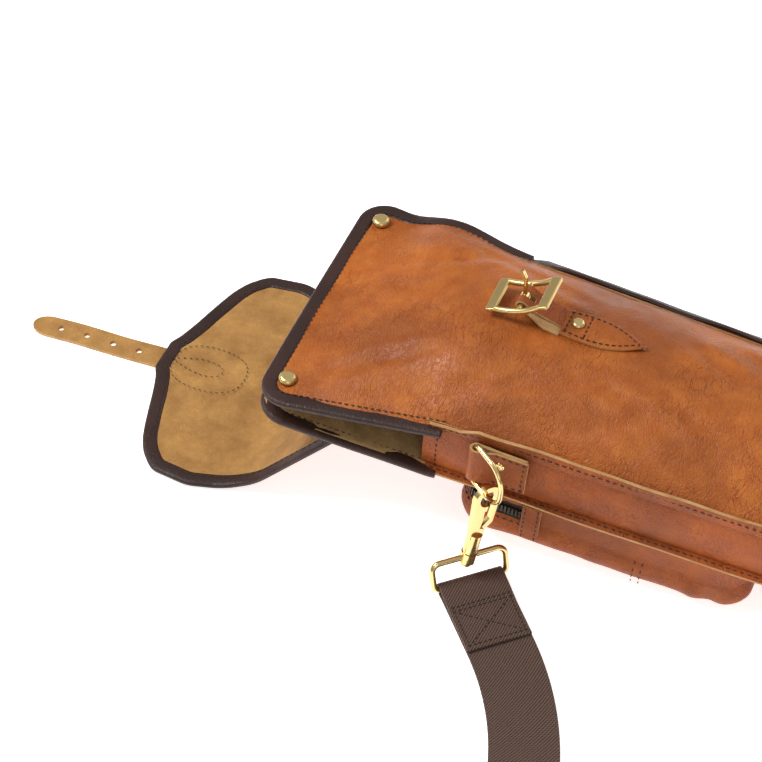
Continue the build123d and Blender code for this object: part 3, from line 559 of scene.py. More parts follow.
# The near gusset's mouth end is turned in and sewn down.
end_z = np.linspace(4, 36, 12)
end_y = -(seam(GUSSET_SEWN_AT) + 0.6 + 3.4 * 0.5 * np.sin(pi * np.linspace(0.08, 0.92, 12)))
sew("near_gusset_end_stitches", [at(GUSSET_SEWN_AT, end_y, end_z)], pitch=4.2, long=2.9, wide=0.8, high=0.9)


# Seam welts: the two layers sewn edge to edge stand up along the top seam, with their cut edges
# showing pale, and lie flat along the foot. Dark thread runs just below the cut edge.
TOP_WELT_THICK, LOW_WELT_THICK = 2.3, 2.4
welt_x = np.concatenate([np.linspace(102, FINE_END, 112)[:-1], np.linspace(FINE_END, SEAM_END, 80)])
for which, way, outer_finish in (("near", -1, russet), ("far", 1, bound)):
    # Painted shade: the far welts, their cut edges and inner faces take the near-black binding leather, where
    # the near ones are russet, pale and cognac.
    rise, cut, inside = (8.0, raw_edge, cognac) if way < 0 else (3.6, bound, bound)
    share = np.linspace(0, 1, 7)
    wx, wv = np.meshgrid(welt_x, share if way < 0 else share[::-1], indexing="ij")
    foot = seam(wx, 2) - 1.5
    lean = 0.5 * np.sin(wx / 17.0) + 0.3 * np.sin(wx / 7.0)
    ramp = np.interp(wx, [106, 120, 131], [0.3, 0.34, 1])
    wy = way * (seam(wx) + 2.6 + lean * wv)
    wz = foot + (rise + 0.35 * np.sin(wx / 12.0)) * wv * ramp
    welt = slab(f"{which}_top_welt_leather", at(wx, wy, wz), TOP_WELT_THICK, [outer_finish, cut, inside],
                round_rim=0.4)
    fasten(welt, "case", "grain_leather", f"{which}_top_welt")
    climb = np.interp(welt_x, [106, 120, 131], [0.2, 0.24, 0.56])
    line = at(welt_x, way * (seam(welt_x) + 2.75), seam(welt_x, 2) - 1.5 + rise * climb)
    sew(f"{which}_top_stitches", [line], pitch=4.2, long=2.9, wide=0.7, high=0.7)
    share = np.linspace(0, 1, 5)
    lx, lv = np.meshgrid(welt_x, share if way < 0 else share[::-1], indexing="ij")
    reach = (4.9 if way < 0 else 4.2) + 0.3 * np.sin(lx / 14.0)
    ly = way * (seam(lx) + 0.2 + reach * (1 - lv))
    lz = 2.2 + 1.3 * lv + 0.3 * np.sin(lx / 21.0)
    low = slab(f"{which}_low_welt_leather", at(lx, ly, lz), LOW_WELT_THICK, [outer_finish, cut, inside],
               round_rim=0.4)
    fasten(low, "case", "grain_leather", f"{which}_low_welt")
    line = at(welt_x, way * (seam(welt_x) + 2.9), 3.3 + 0 * welt_x)
    sew(f"{which}_low_stitches", [line], pitch=4.2, long=2.8, wide=0.7, high=0.7)


# Base: a stiff leather end wall, with a dark binding folded round its edge.
BASE_HALF, BASE_EDGE, BASE_CROWN, BASE_CORNER = 47.5, 38.0, 15.0, 3


def base_outline(grow):
    """The end wall's outline, grown by a margin: down one side, across the back and over the crown."""
    share = np.linspace(-1, 1, 40)
    half, edge_high, foot = BASE_HALF + grow, BASE_EDGE + grow, BASE_CORNER - grow
    top = np.stack([share * half, edge_high + BASE_CROWN * (1 - share**2)], axis=-1)
    right = np.stack([np.full(12, half), np.linspace(edge_high, foot, 13)[1:]], axis=-1)
    bottom = np.stack([np.linspace(half - BASE_CORNER, BASE_CORNER - half, 30), np.full(30, -grow)], axis=-1)
    left = np.stack([np.full(12, -half), np.linspace(foot, edge_high, 13)[:-1]], axis=-1)
    return np.concatenate([top, right, bottom, left])


BASE_MIDDLE, BASE_FACE, BASE_THICK = 22, 798.6, 2.6
edge = base_outline(0)[::-1]
middle = np.array([0, BASE_MIDDLE])
shares = np.array([1, 0.93, 0.8, 0.6, 0.4, 0.2, 0.0])
ring = middle + (edge[:, None] - middle) * shares[None, :, None]
face = BASE_FACE + 0 * ring[..., 0] + 0.3 * (1 - shares**2)[None]
wall = slab("base_leather", at(face, ring[..., 0], ring[..., 1]), BASE_THICK,
            [cognac, raw_edge, lining], closed=True, round_rim=0)
fasten(wall, "case", "grain_leather", "base_panel")
hem = base_outline(1.0)
hem_centres = at(795.8, hem[:, 0], hem[:, 1])
out = unit(np.stack([0 * hem[:, 0], hem[:, 0], hem[:, 1] - BASE_MIDDLE], axis=-1))
binding = roll("base_binding_roll", hem_centres, out, 8.0, 2.6, bound, closed=True)
fasten(binding, "case", "dark_leather", "base_binding")
sewn = base_outline(2.4)
sew("base_stitches", [at(793.4, sewn[:, 0], sewn[:, 1])], pitch=5.0, long=3.2, wide=0.8, high=0.8)


# Pocket: a soft leather tray sewn under the case, cut round its mouth end for a zip. It sags
# between its seams, and a seam crosses its near wall.
POCKET_START, POCKET_END, POCKET_MIDDLE, POCKET_ROUND = 124.0, 296.0, 210, 18


def rounded(corners, radii, step):
    """Points along a path of straight runs, with an arc at each inner corner."""
    corners = [np.array(c, float) for c in corners]
    made = [corners[0]]
    for before, corner, after, radius in zip(corners, corners[1:], corners[2:], radii):
        a = (before - corner) / np.linalg.norm(before - corner)
        b = (after - corner) / np.linalg.norm(after - corner)
        half = np.arccos(np.clip(a @ b, -1, 1)) / 2
        start, end = corner + a * radius / np.tan(half), corner + b * radius / np.tan(half)
        middle = corner + (a + b) / np.linalg.norm(a + b) * radius / np.sin(half)
        made.append(start)
        first, last = start - middle, end - middle
        sweep = pi - 2 * half
        for share in np.linspace(0, 1, max(4, int(sweep * radius / step)))[1:]:
            spoke = np.sin((1 - share) * sweep) * first + np.sin(share * sweep) * last
            made.append(middle + spoke / np.sin(sweep))
    made.append(corners[-1])
    made = np.array(made)
    walk = np.concatenate([[0], np.cumsum(np.linalg.norm(np.diff(made, axis=0), axis=1))])
    even = np.linspace(0, walk[-1], max(2, int(round(walk[-1] / step)) + 1))
    return np.stack([np.interp(even, walk, made[:, i]) for i in range(made.shape[1])], axis=-1)


half_start, half_end = seam(POCKET_START) + 1, seam(POCKET_END) + 1
closing = (POCKET_MIDDLE, half_start * 0.5 + half_end * 0.5)
pocket_corners = [closing, (POCKET_START, half_start), (POCKET_START, -half_start),
                  (POCKET_END, -half_end), (POCKET_END, half_end), closing]
ring = rounded(pocket_corners, [POCKET_ROUND] * 4, 2.2)[::-1][:-1]
travel = run_of(ring, closed=True)
out = np.stack([-travel[:, 1], travel[:, 0]], axis=-1)
# Each row of the wall: how far in from the outline, and its height. The zip lies between two rows.
ZIP_END, ZIP_HIGH, ZIP_LOW, POCKET_FLOOR = 166, -7, -19, -39.9
levels = [(1.2, -0.2), (0.5, -1.2), (0.0, -3.0), (0.0, -5.0), (0.1, ZIP_HIGH), (0.1, -10.0), (0.1, -13.0),
          (0.1, -16.0), (0.1, ZIP_LOW), (0.0, -20.5), (0.0, -22.5), (0.0, -25.0), (0.0, -27.5), (0.2, -30.0),
          (0.7, -32.5), (1.8, -35.0), (3.6, -37.2), (6.4, -38.9), (10, -39.7), (16, POCKET_FLOOR),
          (24, POCKET_FLOOR)]
ring_middle = np.array([POCKET_MIDDLE, 0.0])
wall_rows = []
for inset, height in levels:
    swell = 2.6 * np.sin(pi * np.clip((ZIP_LOW - height) / 20, 0, 1)) * (height < ZIP_LOW)
    spot = ring - out * (inset - swell)
    wall_rows.append(np.column_stack([spot, np.full(len(ring), height)]))
last = ring - out * levels[-1][0]
for share in (0.7, 0.4, 0.0):
    spot = ring_middle + (last - ring_middle) * share
    wall_rows.append(np.column_stack([spot, np.full(len(ring), POCKET_FLOOR)]))
px, py, pz = np.moveaxis(np.stack(wall_rows, axis=1), -1, 0)
dent = rumple(at(px, py, pz), [(24, 1.1), (8, 0.3)], 5)
hold = np.clip((-pz - 20) / 6, 0, 1) * np.clip((39.5 + pz) / 4, 0, 1)
fold = np.exp(-((px - 278) / 6)**2) - 0.6 * np.exp(-((px - 268) / 5)**2)
shift = (dent * hold - 2.0 * fold * hold * (np.abs(py) > 40))[..., None] * out[:, None]
px, py = px + shift[..., 0], py + shift[..., 1]
cell_x = (px[:, :-1] + px[:, 1:]) / 2
cell_z = (pz[:, :-1] + pz[:, 1:]) / 2
keep = ~((cell_x < ZIP_END - 2) & (cell_z < ZIP_HIGH) & (cell_z > ZIP_LOW))
tray = slab("pocket_leather", at(px, py, pz), 2.0, [russet, raw_edge, lining], closed=True, keep=keep)
fasten(tray, "case", "grain_leather", "pocket")


# Zip: woven black tape behind the slot, two rows of dark moulded teeth meeting along its middle, and
# a sewn tab of leather over each end.
def woven(name, body, deep, period):
    """Plain-woven tape: ribs both ways at the yarn's own spacing, in millimetres."""
    made, tree, shader, place = new_finish(name)
    ribs = add(tree, "ShaderNodeTexWave", {"wave_type": "BANDS", "bands_direction": "X"},
               {"Vector": place, "Scale": 314.0 / period, "Distortion": 0.4})
    cross = add(tree, "ShaderNodeTexWave", {"wave_type": "BANDS", "bands_direction": "Z"},
                {"Vector": place, "Scale": 314.0 / period, "Distortion": 0.4})
    both = add(tree, "ShaderNodeMath", {"operation": "MULTIPLY"},
               {0: ribs.outputs["Color"], 1: cross.outputs["Color"]})
    mix = add(tree, "ShaderNodeMix", {"data_type": "RGBA"},
              {0: both.outputs[0], 6: linear(deep), 7: linear(body)})
    tree.links.new(mix.outputs[2], shader.inputs["Base Color"])
    bump = add(tree, "ShaderNodeBump", {}, {"Strength": 0.5, "Distance": 0.0003, "Height": both.outputs[0]})
    tree.links.new(bump.outputs[0], shader.inputs["Normal"])
    shader.inputs["Roughness"].default_value = 0.85
    return made


tape_weave = woven("Woven zip tape, black", "#2A2420", "#100D0C", 0.9)
zip_ring = rounded([(ZIP_END, half_start + 0.4), (POCKET_START, half_start), (POCKET_START, -half_start),
                    (ZIP_END, -half_start - 0.4)], [POCKET_ROUND] * 2, 1.5)
zip_travel = run_of(zip_ring)
zip_out = np.stack([zip_travel[:, 1], -zip_travel[:, 0]], axis=-1)
zip_out *= np.sign((zip_out * (zip_ring - ring_middle)).sum(axis=1).mean())
tape_z = np.linspace(ZIP_HIGH + 1.5, ZIP_LOW - 1.5, 6)
tape_line = zip_ring - zip_out * 1.6
tx, tz = np.meshgrid(tape_line[:, 0], tape_z, indexing="ij")
ty = np.broadcast_to(tape_line[:, 1:2], tx.shape)
tape = slab("zip_tape_weave", at(tx[::-1], ty[::-1], tz[::-1]), 0.9, [tape_weave])
fasten(tape, "case", "zip_cotton", "zip_tape")


def moulded(name, colour, roughness):
    """Dark anodised teeth with a dull shine, faintly uneven."""
    made, tree, shader, place = new_finish(name)
    wear = add(tree, "ShaderNodeTexNoise", {}, {"Vector": place, "Scale": 300.0})
    rough = add(tree, "ShaderNodeMapRange", {},
                {"Value": wear.outputs[0], "To Min": roughness - 0.1, "To Max": roughness + 0.15})
    tree.links.new(rough.outputs[0], shader.inputs["Roughness"])
    shader.inputs["Base Color"].default_value = linear(colour)
    shader.inputs["Metallic"].default_value = 0.8
    return made


dark_teeth = moulded("Oxidised brass zip teeth", "#4A4038", 0.4)
tooth_run = stitch_tree("Zip tooth run", True)
for row_name, height in (("upper", -11.9), ("lower", -14.1)):
    line = zip_ring - zip_out * 0.9
    start = 0 if row_name == "upper" else 1
    path = at(line[start:, 0], line[start:, 1], height)
    row = seam_row(f"zip_teeth_{row_name}", tooth_run, [path], dark_teeth,
                   pitch=2.2, long=1.25, wide=1.8, high=3.2)
    fasten(row, "case", "brass")
slot_lines = []
for height in (ZIP_HIGH + 1.8, ZIP_LOW - 1.8):
    line = zip_ring + zip_out * 0.45
    slot_lines.append(at(line[:, 0], line[:, 1], height))
sew("zip_stitches", slot_lines, pitch=4.2, long=3.0, wide=0.8, high=0.8)

tab_lines = []
for way in (1, -1):
    fall = np.linspace(-3, -31, 16)
    tab_x, tab_z = np.meshgrid(np.linspace(162.8, 174.2, 10), fall[::-1] if way < 0 else fall, indexing="ij")
    tab_y = way * (seam(tab_x) + 3.0 + 0.25 * np.sin(tab_z / 4.0))
    which = "far" if way > 0 else "near"
    end_tab = slab(f"zip_end_tab_{which}", at(tab_x, tab_y, tab_z), 1.8, [russet, raw_edge], round_rim=0.5)
    fasten(end_tab, "case", "grain_leather", "zip_end_tabs")
    for line_x in (164.6, 172.4):
        tab_lines.append(at(np.full(8, line_x), way * (seam(line_x) + 3.15), np.linspace(-29, -5, 8)))
sew("zip_end_stitches", tab_lines, pitch=3.6, long=2.6, wide=0.8, high=0.8)

# Two rows of stitches run down the pocket's near wall.
seam_lines = [at(np.full(14, spot), -(seam(spot) + 1.5 + 2.2 * np.sin(np.linspace(0.1, 2.6, 14))),
                 np.linspace(-21, -36, 14)) for spot in (232.0, 236.5)]
sew("pocket_seam_stitches", seam_lines, pitch=4.0, long=2.8, wide=0.8, high=0.8)


# Brass: buckle, prong, press studs, rings, hooks, loops, slide, zip slider and puller. All are cast or
# bent, polished and plated pale gold, with faint scratches.
def plated(name, colour, roughness):
    """Polished pale-gold plate: a clear mirror with soft uneven polish and fine scratches."""
    made, tree, shader, place = new_finish(name)
    polish = add(tree, "ShaderNodeTexNoise", {}, {"Vector": place, "Scale": 240.0, "Detail": 4.0})
    rough = add(tree, "ShaderNodeMapRange", {},
                {"Value": polish.outputs[0], "To Min": roughness - 0.05, "To Max": roughness + 0.12})
    drawn = add(tree, "ShaderNodeMapping", {}, {"Vector": place, "Scale": (400.0, 400.0, 4000.0)})
    scratch = add(tree, "ShaderNodeTexNoise", {}, {"Vector": drawn.outputs[0], "Scale": 1.0})
    bump = add(tree, "ShaderNodeBump", {},
               {"Strength": 0.08, "Distance": 0.0001, "Height": scratch.outputs[0]})
    tree.links.new(rough.outputs[0], shader.inputs["Roughness"])
    tree.links.new(bump.outputs[0], shader.inputs["Normal"])
    shader.inputs["Base Color"].default_value = linear(colour)
    shader.inputs["Metallic"].default_value = 1.0
    return made


brass = plated("Polished brass plate, pale gold", "#E3C88A", 0.16)
satin_brass = plated("Satin brass, pale gold", "#D9BE80", 0.3)
BRASS_NODES = ["mouth_caps", "mouth_seats", "buckle_frame", "buckle_prong", "chape_rivet", "near_tab_rivet",
               "far_tab_rivet", "near_ring", "far_ring", "near_hook", "far_hook", "near_gate", "far_gate",
               "near_strap_loop", "far_strap_loop", "strap_slide", "zip_slider", "zip_puller"]
for node_name in BRASS_NODES:
    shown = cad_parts[node_name]
    shown.data.materials.clear()
    shown.data.materials.append(satin_brass if node_name in ("buckle_frame", "mouth_caps") else brass)


# Buckle's chape: a strap folded round the buckle's bar, grain side out, sewn under a leaf-shaped patch
# with a domed rivet through it.
BUCKLE_Y = 9
chape_line = np.array([(151.5, 66.0), (147, 67.6), (141, 69.4), (134, 72.6), (128, 76.2), (126, 77.3)])
turn = np.linspace(1.2, pi + 1.0, 14)
bend = np.stack([125.2 + 3.0 * np.cos(turn), 74.4 + 3.0 * np.sin(turn)], axis=-1)
under = np.array([(127, 71.3), (133, 69.4), (139, 67.4), (146, 65.9), (150, 65.2)])
chape_line = rounded(np.concatenate([chape_line[:-1], bend, under]), [0.4] * (len(bend) + 8), 1.0)
cx, cv = np.meshgrid(chape_line[:, 0], np.linspace(1, -1, 17), indexing="ij")
cz = np.broadcast_to(chape_line[:, 1:2], cx.shape)
lower = np.arange(len(cx))[:, None] > len(cx) * 0.52
splay = np.where(lower, -4.2 * np.clip((cx - 127) / 14, 0, 1), 1.6 * np.clip((cx - 130) / 14, 0, 1))
cy = BUCKLE_Y + splay + 7.2 * cv
mid_x, mid_y = (cx[:-1, :-1] + cx[1:, 1:]) / 2, (cy[:-1, :-1] + cy[1:, 1:]) / 2
keep = ~((mid_x < 131.5) & (np.abs(mid_y - BUCKLE_Y) < 1.9))
chape = slab("buckle_chape_leather", at(cx, cy, cz), 1.6, [russet, raw_edge, flesh], lift=0.8, keep=keep)
fasten(chape, "case", "grain_leather", "buckle_chape")


def leaf_half(x, inset=0.0):
    """The patch's half width: square at the buckle, then drawn to a point at the base end."""
    share = np.clip((np.asarray(x, float) - 150) / (49 - inset), 0, 1)
    return np.maximum((10.3 + 2.6 * np.sin(np.clip(share * 2.4, 0, pi / 2))) * (1 - share**3.2) - inset, 0.05)


def leaf_height(x, y):
    """The patch is stiffer than the front, and takes only half of its creases."""
    return front_height(x, y) * 0.5 + front_height(x * 0 + 174, y) * 0.5


leaf_x = 150 + 49 * (1 - (1 - np.linspace(0, 1, 70))**1.3)
lx, lv = np.meshgrid(leaf_x, np.linspace(-1, 1, 31), indexing="ij")
ly = BUCKLE_Y + lv * leaf_half(lx)
leaf_top = leaf_height(lx, ly) + 2.4 - 0.5 * np.abs(lv)**6
leaf = slab("chape_patch_leather", at(lx, ly, leaf_top), 1.9, [cognac, raw_edge, lining], round_rim=0.5)
fasten(leaf, "case", "grain_leather", "chape_patch")
edge_x = np.concatenate([np.linspace(152.5, 194.5, 40), np.linspace(194.5, 152.5, 40)])
edge_y = BUCKLE_Y + np.concatenate([leaf_half(edge_x[:40], 2.2), -leaf_half(edge_x[40:], 2.2)])
bars = [at(edge_x, edge_y, leaf_height(edge_x, edge_y) + 2.55)]
for bar_x in (152.6, 164.0):
    bar_y = np.linspace(1.5, 16.5, 8)
    bars.append(at(bar_x, bar_y, leaf_height(bar_y * 0 + bar_x, bar_y) + 2.6))
sew("chape_patch_stitches", bars, pitch=3.6, long=2.7, wide=0.85, high=0.8)


# Ring tabs: a strip folded round each D-ring's bar, its two ends sewn and riveted to the gusset.
TAB_LONG, TAB_TALL = 31, 25.5
for which, bar_x, bar_y, bar_z, toward in (("near", 132, -77.4, 26, 1), ("far", 650, -60.6, 26, -1)):
    turn = np.linspace(pi / 2, 3 * pi / 2, 14)
    arc = np.stack([3.0 * np.cos(turn), 3.0 * np.sin(turn)], axis=-1)
    inward, outward = np.linspace(TAB_LONG - 1, 1, 16), np.linspace(1, TAB_LONG, 20)
    back_leaf = np.stack([inward, np.interp(inward, [0, 12, 30], [3.0, 2.6, 2.6])], axis=-1)
    front_leaf = np.stack([outward, np.interp(outward, [0, 5, 12, 31], [-3.0, -2.2, 0.6, 0.75])], axis=-1)
    line = np.concatenate([back_leaf, arc, front_leaf])
    line[:, 0] *= toward
    tall = np.linspace(-TAB_TALL / 2, TAB_TALL / 2, 15) * toward
    tx, tz = np.meshgrid(line[:, 0] + bar_x, tall + bar_z, indexing="ij")
    ty = np.broadcast_to(line[:, 1:2] + bar_y, tx.shape)
    tab = slab(f"{which}_ring_tab_leather", at(tx, ty, tz), 1.7, [russet, raw_edge, lining],
               lift=0.85, round_rim=0.5)
    fasten(tab, "case", "grain_leather", f"{which}_ring_tab")
    end_x, mid_x = bar_x + toward * 28.6, bar_x + toward * 8.5
    face = bar_y - 0.35
    hem_x = np.linspace(mid_x, end_x, 8)
    lines = [at(np.full(8, end_x), face, np.linspace(bar_z - 11, bar_z + 11, 8)),
             at(hem_x, face, bar_z + 11.2), at(hem_x, face, bar_z - 11.2)]
    sew(f"{which}_ring_tab_stitches", lines, pitch=3.7, long=2.7, wide=0.8, high=0.9)


# Shoulder strap: 40 mm twill-woven cotton webbing, flat on the floor. Each end folds round its loop's
# lower bar and is box-stitched to itself; the far end runs back to a slide bar.
def twill(name, body, deep):
    """Twill webbing: slanting ribs 1.1 mm apart, crossed by the weft, with a ridged selvedge."""
    made = bpy.data.materials.new(name)
    made.use_nodes = True
    tree = made.node_tree
    shader = tree.nodes["Principled BSDF"]
    lay = add(tree, "ShaderNodeUVMap", {"uv_map": "lay"}).outputs["UV"]
    slant = add(tree, "ShaderNodeTexWave", {"wave_type": "BANDS", "bands_direction": "DIAGONAL"},
                {"Vector": lay, "Scale": 300.0, "Distortion": 0.6, "Detail": 1.0, "Detail Scale": 2.0})
    weft = add(tree, "ShaderNodeTexWave", {"wave_type": "BANDS", "bands_direction": "X"},
               {"Vector": lay, "Scale": 262.0, "Distortion": 0.5})
    both = add(tree, "ShaderNodeMath", {"operation": "MULTIPLY_ADD"},
               {0: weft.outputs["Color"], 1: 0.45, 2: slant.outputs["Color"]})
    fuzz = add(tree, "ShaderNodeTexNoise", {}, {"Vector": lay, "Scale": 700.0, "Detail": 3.0})
    height = add(tree, "ShaderNodeMath", {"operation": "MULTIPLY_ADD"},
                 {0: fuzz.outputs[0], 1: 0.5, 2: both.outputs[0]})
    tone = add(tree, "ShaderNodeMapRange", {}, {"Value": height.outputs[0], "From Min": 0.3, "From Max": 1.6})
    mix = add(tree, "ShaderNodeMix", {"data_type": "RGBA"},
              {0: tone.outputs[0], 6: linear(deep), 7: linear(body)})
    tree.links.new(mix.outputs[2], shader.inputs["Base Color"])
    bump = add(tree, "ShaderNodeBump", {}, {"Strength": 0.8, "Distance": 0.0006, "Height": height.outputs[0]})
    tree.links.new(bump.outputs[0], shader.inputs["Normal"])
    shader.inputs["Roughness"].default_value = 0.82
    shader.inputs["Sheen Weight"].default_value = 0.15
    return made


webbing_twill = twill("Twill cotton webbing, dark brown", "#6E5142", "#2E201A")
WEB_WIDE, WEB_THICK = 39.4, 1.8
NEAR_FOOT, FAR_FOOT = (143.239, -102.653), (639.42, -120.6)
NEAR_WAY = (cos(radians(48)), -sin(radians(48)))
FAR_WAY = (-cos(radians(88)), -sin(radians(88)))


def beyond(foot, way, distance):
    """A point of the floor at a distance from a hook's loop, the way its strap leaves it."""
    return (foot[0] + way[0] * distance, foot[1] + way[1] * distance)


def band(name, node, line, height, ripple=0.25):
    """Webbing laid along a line over the floor, its top face at a height, in place of a node."""
    travel = run_of(line)
    left = np.stack([-travel[:, 1], travel[:, 0]], axis=-1)
    across = np.linspace(-WEB_WIDE / 2, WEB_WIDE / 2, 21)
    spots = line[:, None] + left[:, None] * across[None, :, None]
    walk = np.concatenate([[0], np.cumsum(np.linalg.norm(np.diff(line, axis=0), axis=1))])
    lift = height + ripple * (1 + np.sin(walk / 37.0)[:, None] * (across / WEB_WIDE * 2)[None])
    lay = np.stack(np.broadcast_arrays(walk[:, None] / 1000, across[None] / 1000), axis=-1)
    made = slab(name, ground(spots[..., 0], spots[..., 1], lift), WEB_THICK, [webbing_twill],
                lay=lay, round_rim=0.5)
    fasten(made, "shoulder_strap", "webbing", node)


FAR_BEND = beyond(FAR_FOOT, FAR_WAY, 111)
LOW_NEAR, LOW_FAR = (236, -420), (600, -420)
strap_line = rounded([beyond(NEAR_FOOT, NEAR_WAY, 1), beyond(NEAR_FOOT, NEAR_WAY, 111), LOW_NEAR, LOW_FAR,
                      FAR_BEND, beyond(FAR_FOOT, FAR_WAY, 1)], [190, 140, 140, 280], 5.0)
band("shoulder_strap_webbing", "strap_webbing", strap_line, 1.85)
return_line = rounded([(430, -420), LOW_FAR, FAR_BEND, beyond(FAR_FOOT, FAR_WAY, 48)], [140, 280], 5.0)
band("shoulder_strap_return", "strap_return", return_line, 4.05)
FOLD_AT, FOLD_HIGH = [2, 10, 22, 46], [7.1, 6.0, 3.9, 3.4]
for which, foot, way in (("near", NEAR_FOOT, NEAR_WAY), ("far", FAR_FOOT, FAR_WAY)):
    turn = np.linspace(-pi / 2, -3 * pi / 2, 18)
    arc = np.stack([3.1 * np.cos(turn), 4.1 + 3.1 * np.sin(turn)], axis=-1)
    run = np.linspace(2, 46, 24)
    top = np.stack([run, np.interp(run, FOLD_AT, FOLD_HIGH)], axis=-1)
    profile = np.concatenate([[(5, 0.95), (2, 0.97)], arc, top])
    across = np.linspace(-WEB_WIDE / 2, WEB_WIDE / 2, 21)
    left = np.array([-way[1], way[0]])
    fx = foot[0] + profile[:, :1] * way[0] + across[None] * left[0]
    fy = foot[1] + profile[:, :1] * way[1] + across[None] * left[1]
    fz = np.broadcast_to(profile[:, 1:2], fx.shape)
    walk = np.concatenate([[0], np.cumsum(np.linalg.norm(np.diff(profile, axis=0), axis=1))])
    lay = np.stack(np.broadcast_arrays(walk[:, None] / 1000, across[None] / 1000), axis=-1)
    folded = slab(f"{which}_strap_fold_webbing", ground(fx, fy, fz), WEB_THICK, [webbing_twill],
                  lift=0.9, lay=lay, round_rim=0.5)
    fasten(folded, "shoulder_strap", "webbing", f"{which}_strap_fold")

    def sewn_line(ax, ay, bx, by):
        """A stitch line on the fold's top, from one point (along, across) to another."""
        share = np.linspace(0, 1, 12)
        u, v = ax + (bx - ax) * share, ay + (by - ay) * share
        high = np.interp(u, FOLD_AT, FOLD_HIGH) + 1.05
        return ground(foot[0] + u * way[0] + v * left[0], foot[1] + u * way[1] + v * left[1], high)

    # A box with a doubled line at the loop's end, and a cross inside it.
    box = [sewn_line(*ends) for ends in ((16, -17, 16, 17), (18.5, -17, 18.5, 17), (43, -17, 43, 17),
                                         (16, -17, 43, -17), (16, 17, 43, 17), (18.5, -17, 43, 17),
                                         (18.5, 17, 43, -17))]
    sew(f"{which}_strap_fold_stitches", box,
        pitch=3.0, long=2.3, wide=0.8, high=0.7, body="shoulder_strap", finish_slot="webbing")


# Flap: one hide, suede side up here, sewn under the back panel. It falls to the floor and lies flat,
# with a dark binding round its free edge. It is made in three lengths, each across one fold.
flap_suede = suede("Suede flesh side, tan", "#C29250", "#966A34", sheen=0.12)
FLAP_MIDDLE, FLAP_THICK = -8, 2.2
flap_centre = rounded([(68.05, 60.04), (51.0, 63.35), (-8, 2.9), (-98, 2.9)], [9, 46], 1.0)
walk = np.concatenate([[0], np.cumsum(np.linalg.norm(np.diff(flap_centre, axis=0), axis=1))])
root_walk = walk[np.argmin(np.hypot(*(flap_centre - np.array([50.25, 63.0])).T))]
walk = walk - root_walk
TIP_AT = walk[-1]
FLOOR_AT = TIP_AT - 90
# The flap's half width at distances past its seam, then past the place where it meets the floor.
outline_at = np.concatenate([[-30, 0], FLOOR_AT + np.array([0, 32, 57, 69, 76, 80, 85]),
                             [TIP_AT, TIP_AT + 20]])
outline_half = np.array([70, 71, 81.5, 90, 87, 74, 56, 39, 22, 9.5, 8.5])


def flap_half(s):
    """The flap's half width at a distance from its seam, eased."""
    near = np.asarray(s, float)[..., None] + np.linspace(-4, 4, 9)
    return np.interp(near, outline_at, outline_half).mean(axis=-1)


def flap_point(s, y, lift=0.0):
    """A point of the flap: s along it from the seam, y across, lift over its middle layer."""
    s, y, lift = np.broadcast_arrays(s, y, lift)
    x, z = np.interp(s, walk, flap_centre[:, 0]), np.interp(s, walk, flap_centre[:, 1])
    ahead = np.interp(s + 1, walk, flap_centre[:, 0]) - np.interp(s - 1, walk, flap_centre[:, 0])
    fall = np.interp(s + 1, walk, flap_centre[:, 1]) - np.interp(s - 1, walk, flap_centre[:, 1])
    length = np.hypot(ahead, fall)
    return ground(x + fall / length * lift, FLAP_MIDDLE + y, z - ahead / length * lift)


def flap_path(inset):
    """The flap's edge from its seam to its tip, inset by a margin: distances along and across."""
    widest = FLOOR_AT + 30
    s = np.concatenate([np.linspace(-14, widest, 120)[:-1], np.linspace(widest, TIP_AT - 0.5, 150)])
    outline = np.stack([s, flap_half(s)], axis=-1)
    travel = run_of(outline)
    return outline + np.stack([travel[:, 1], -travel[:, 0]], axis=-1) * inset


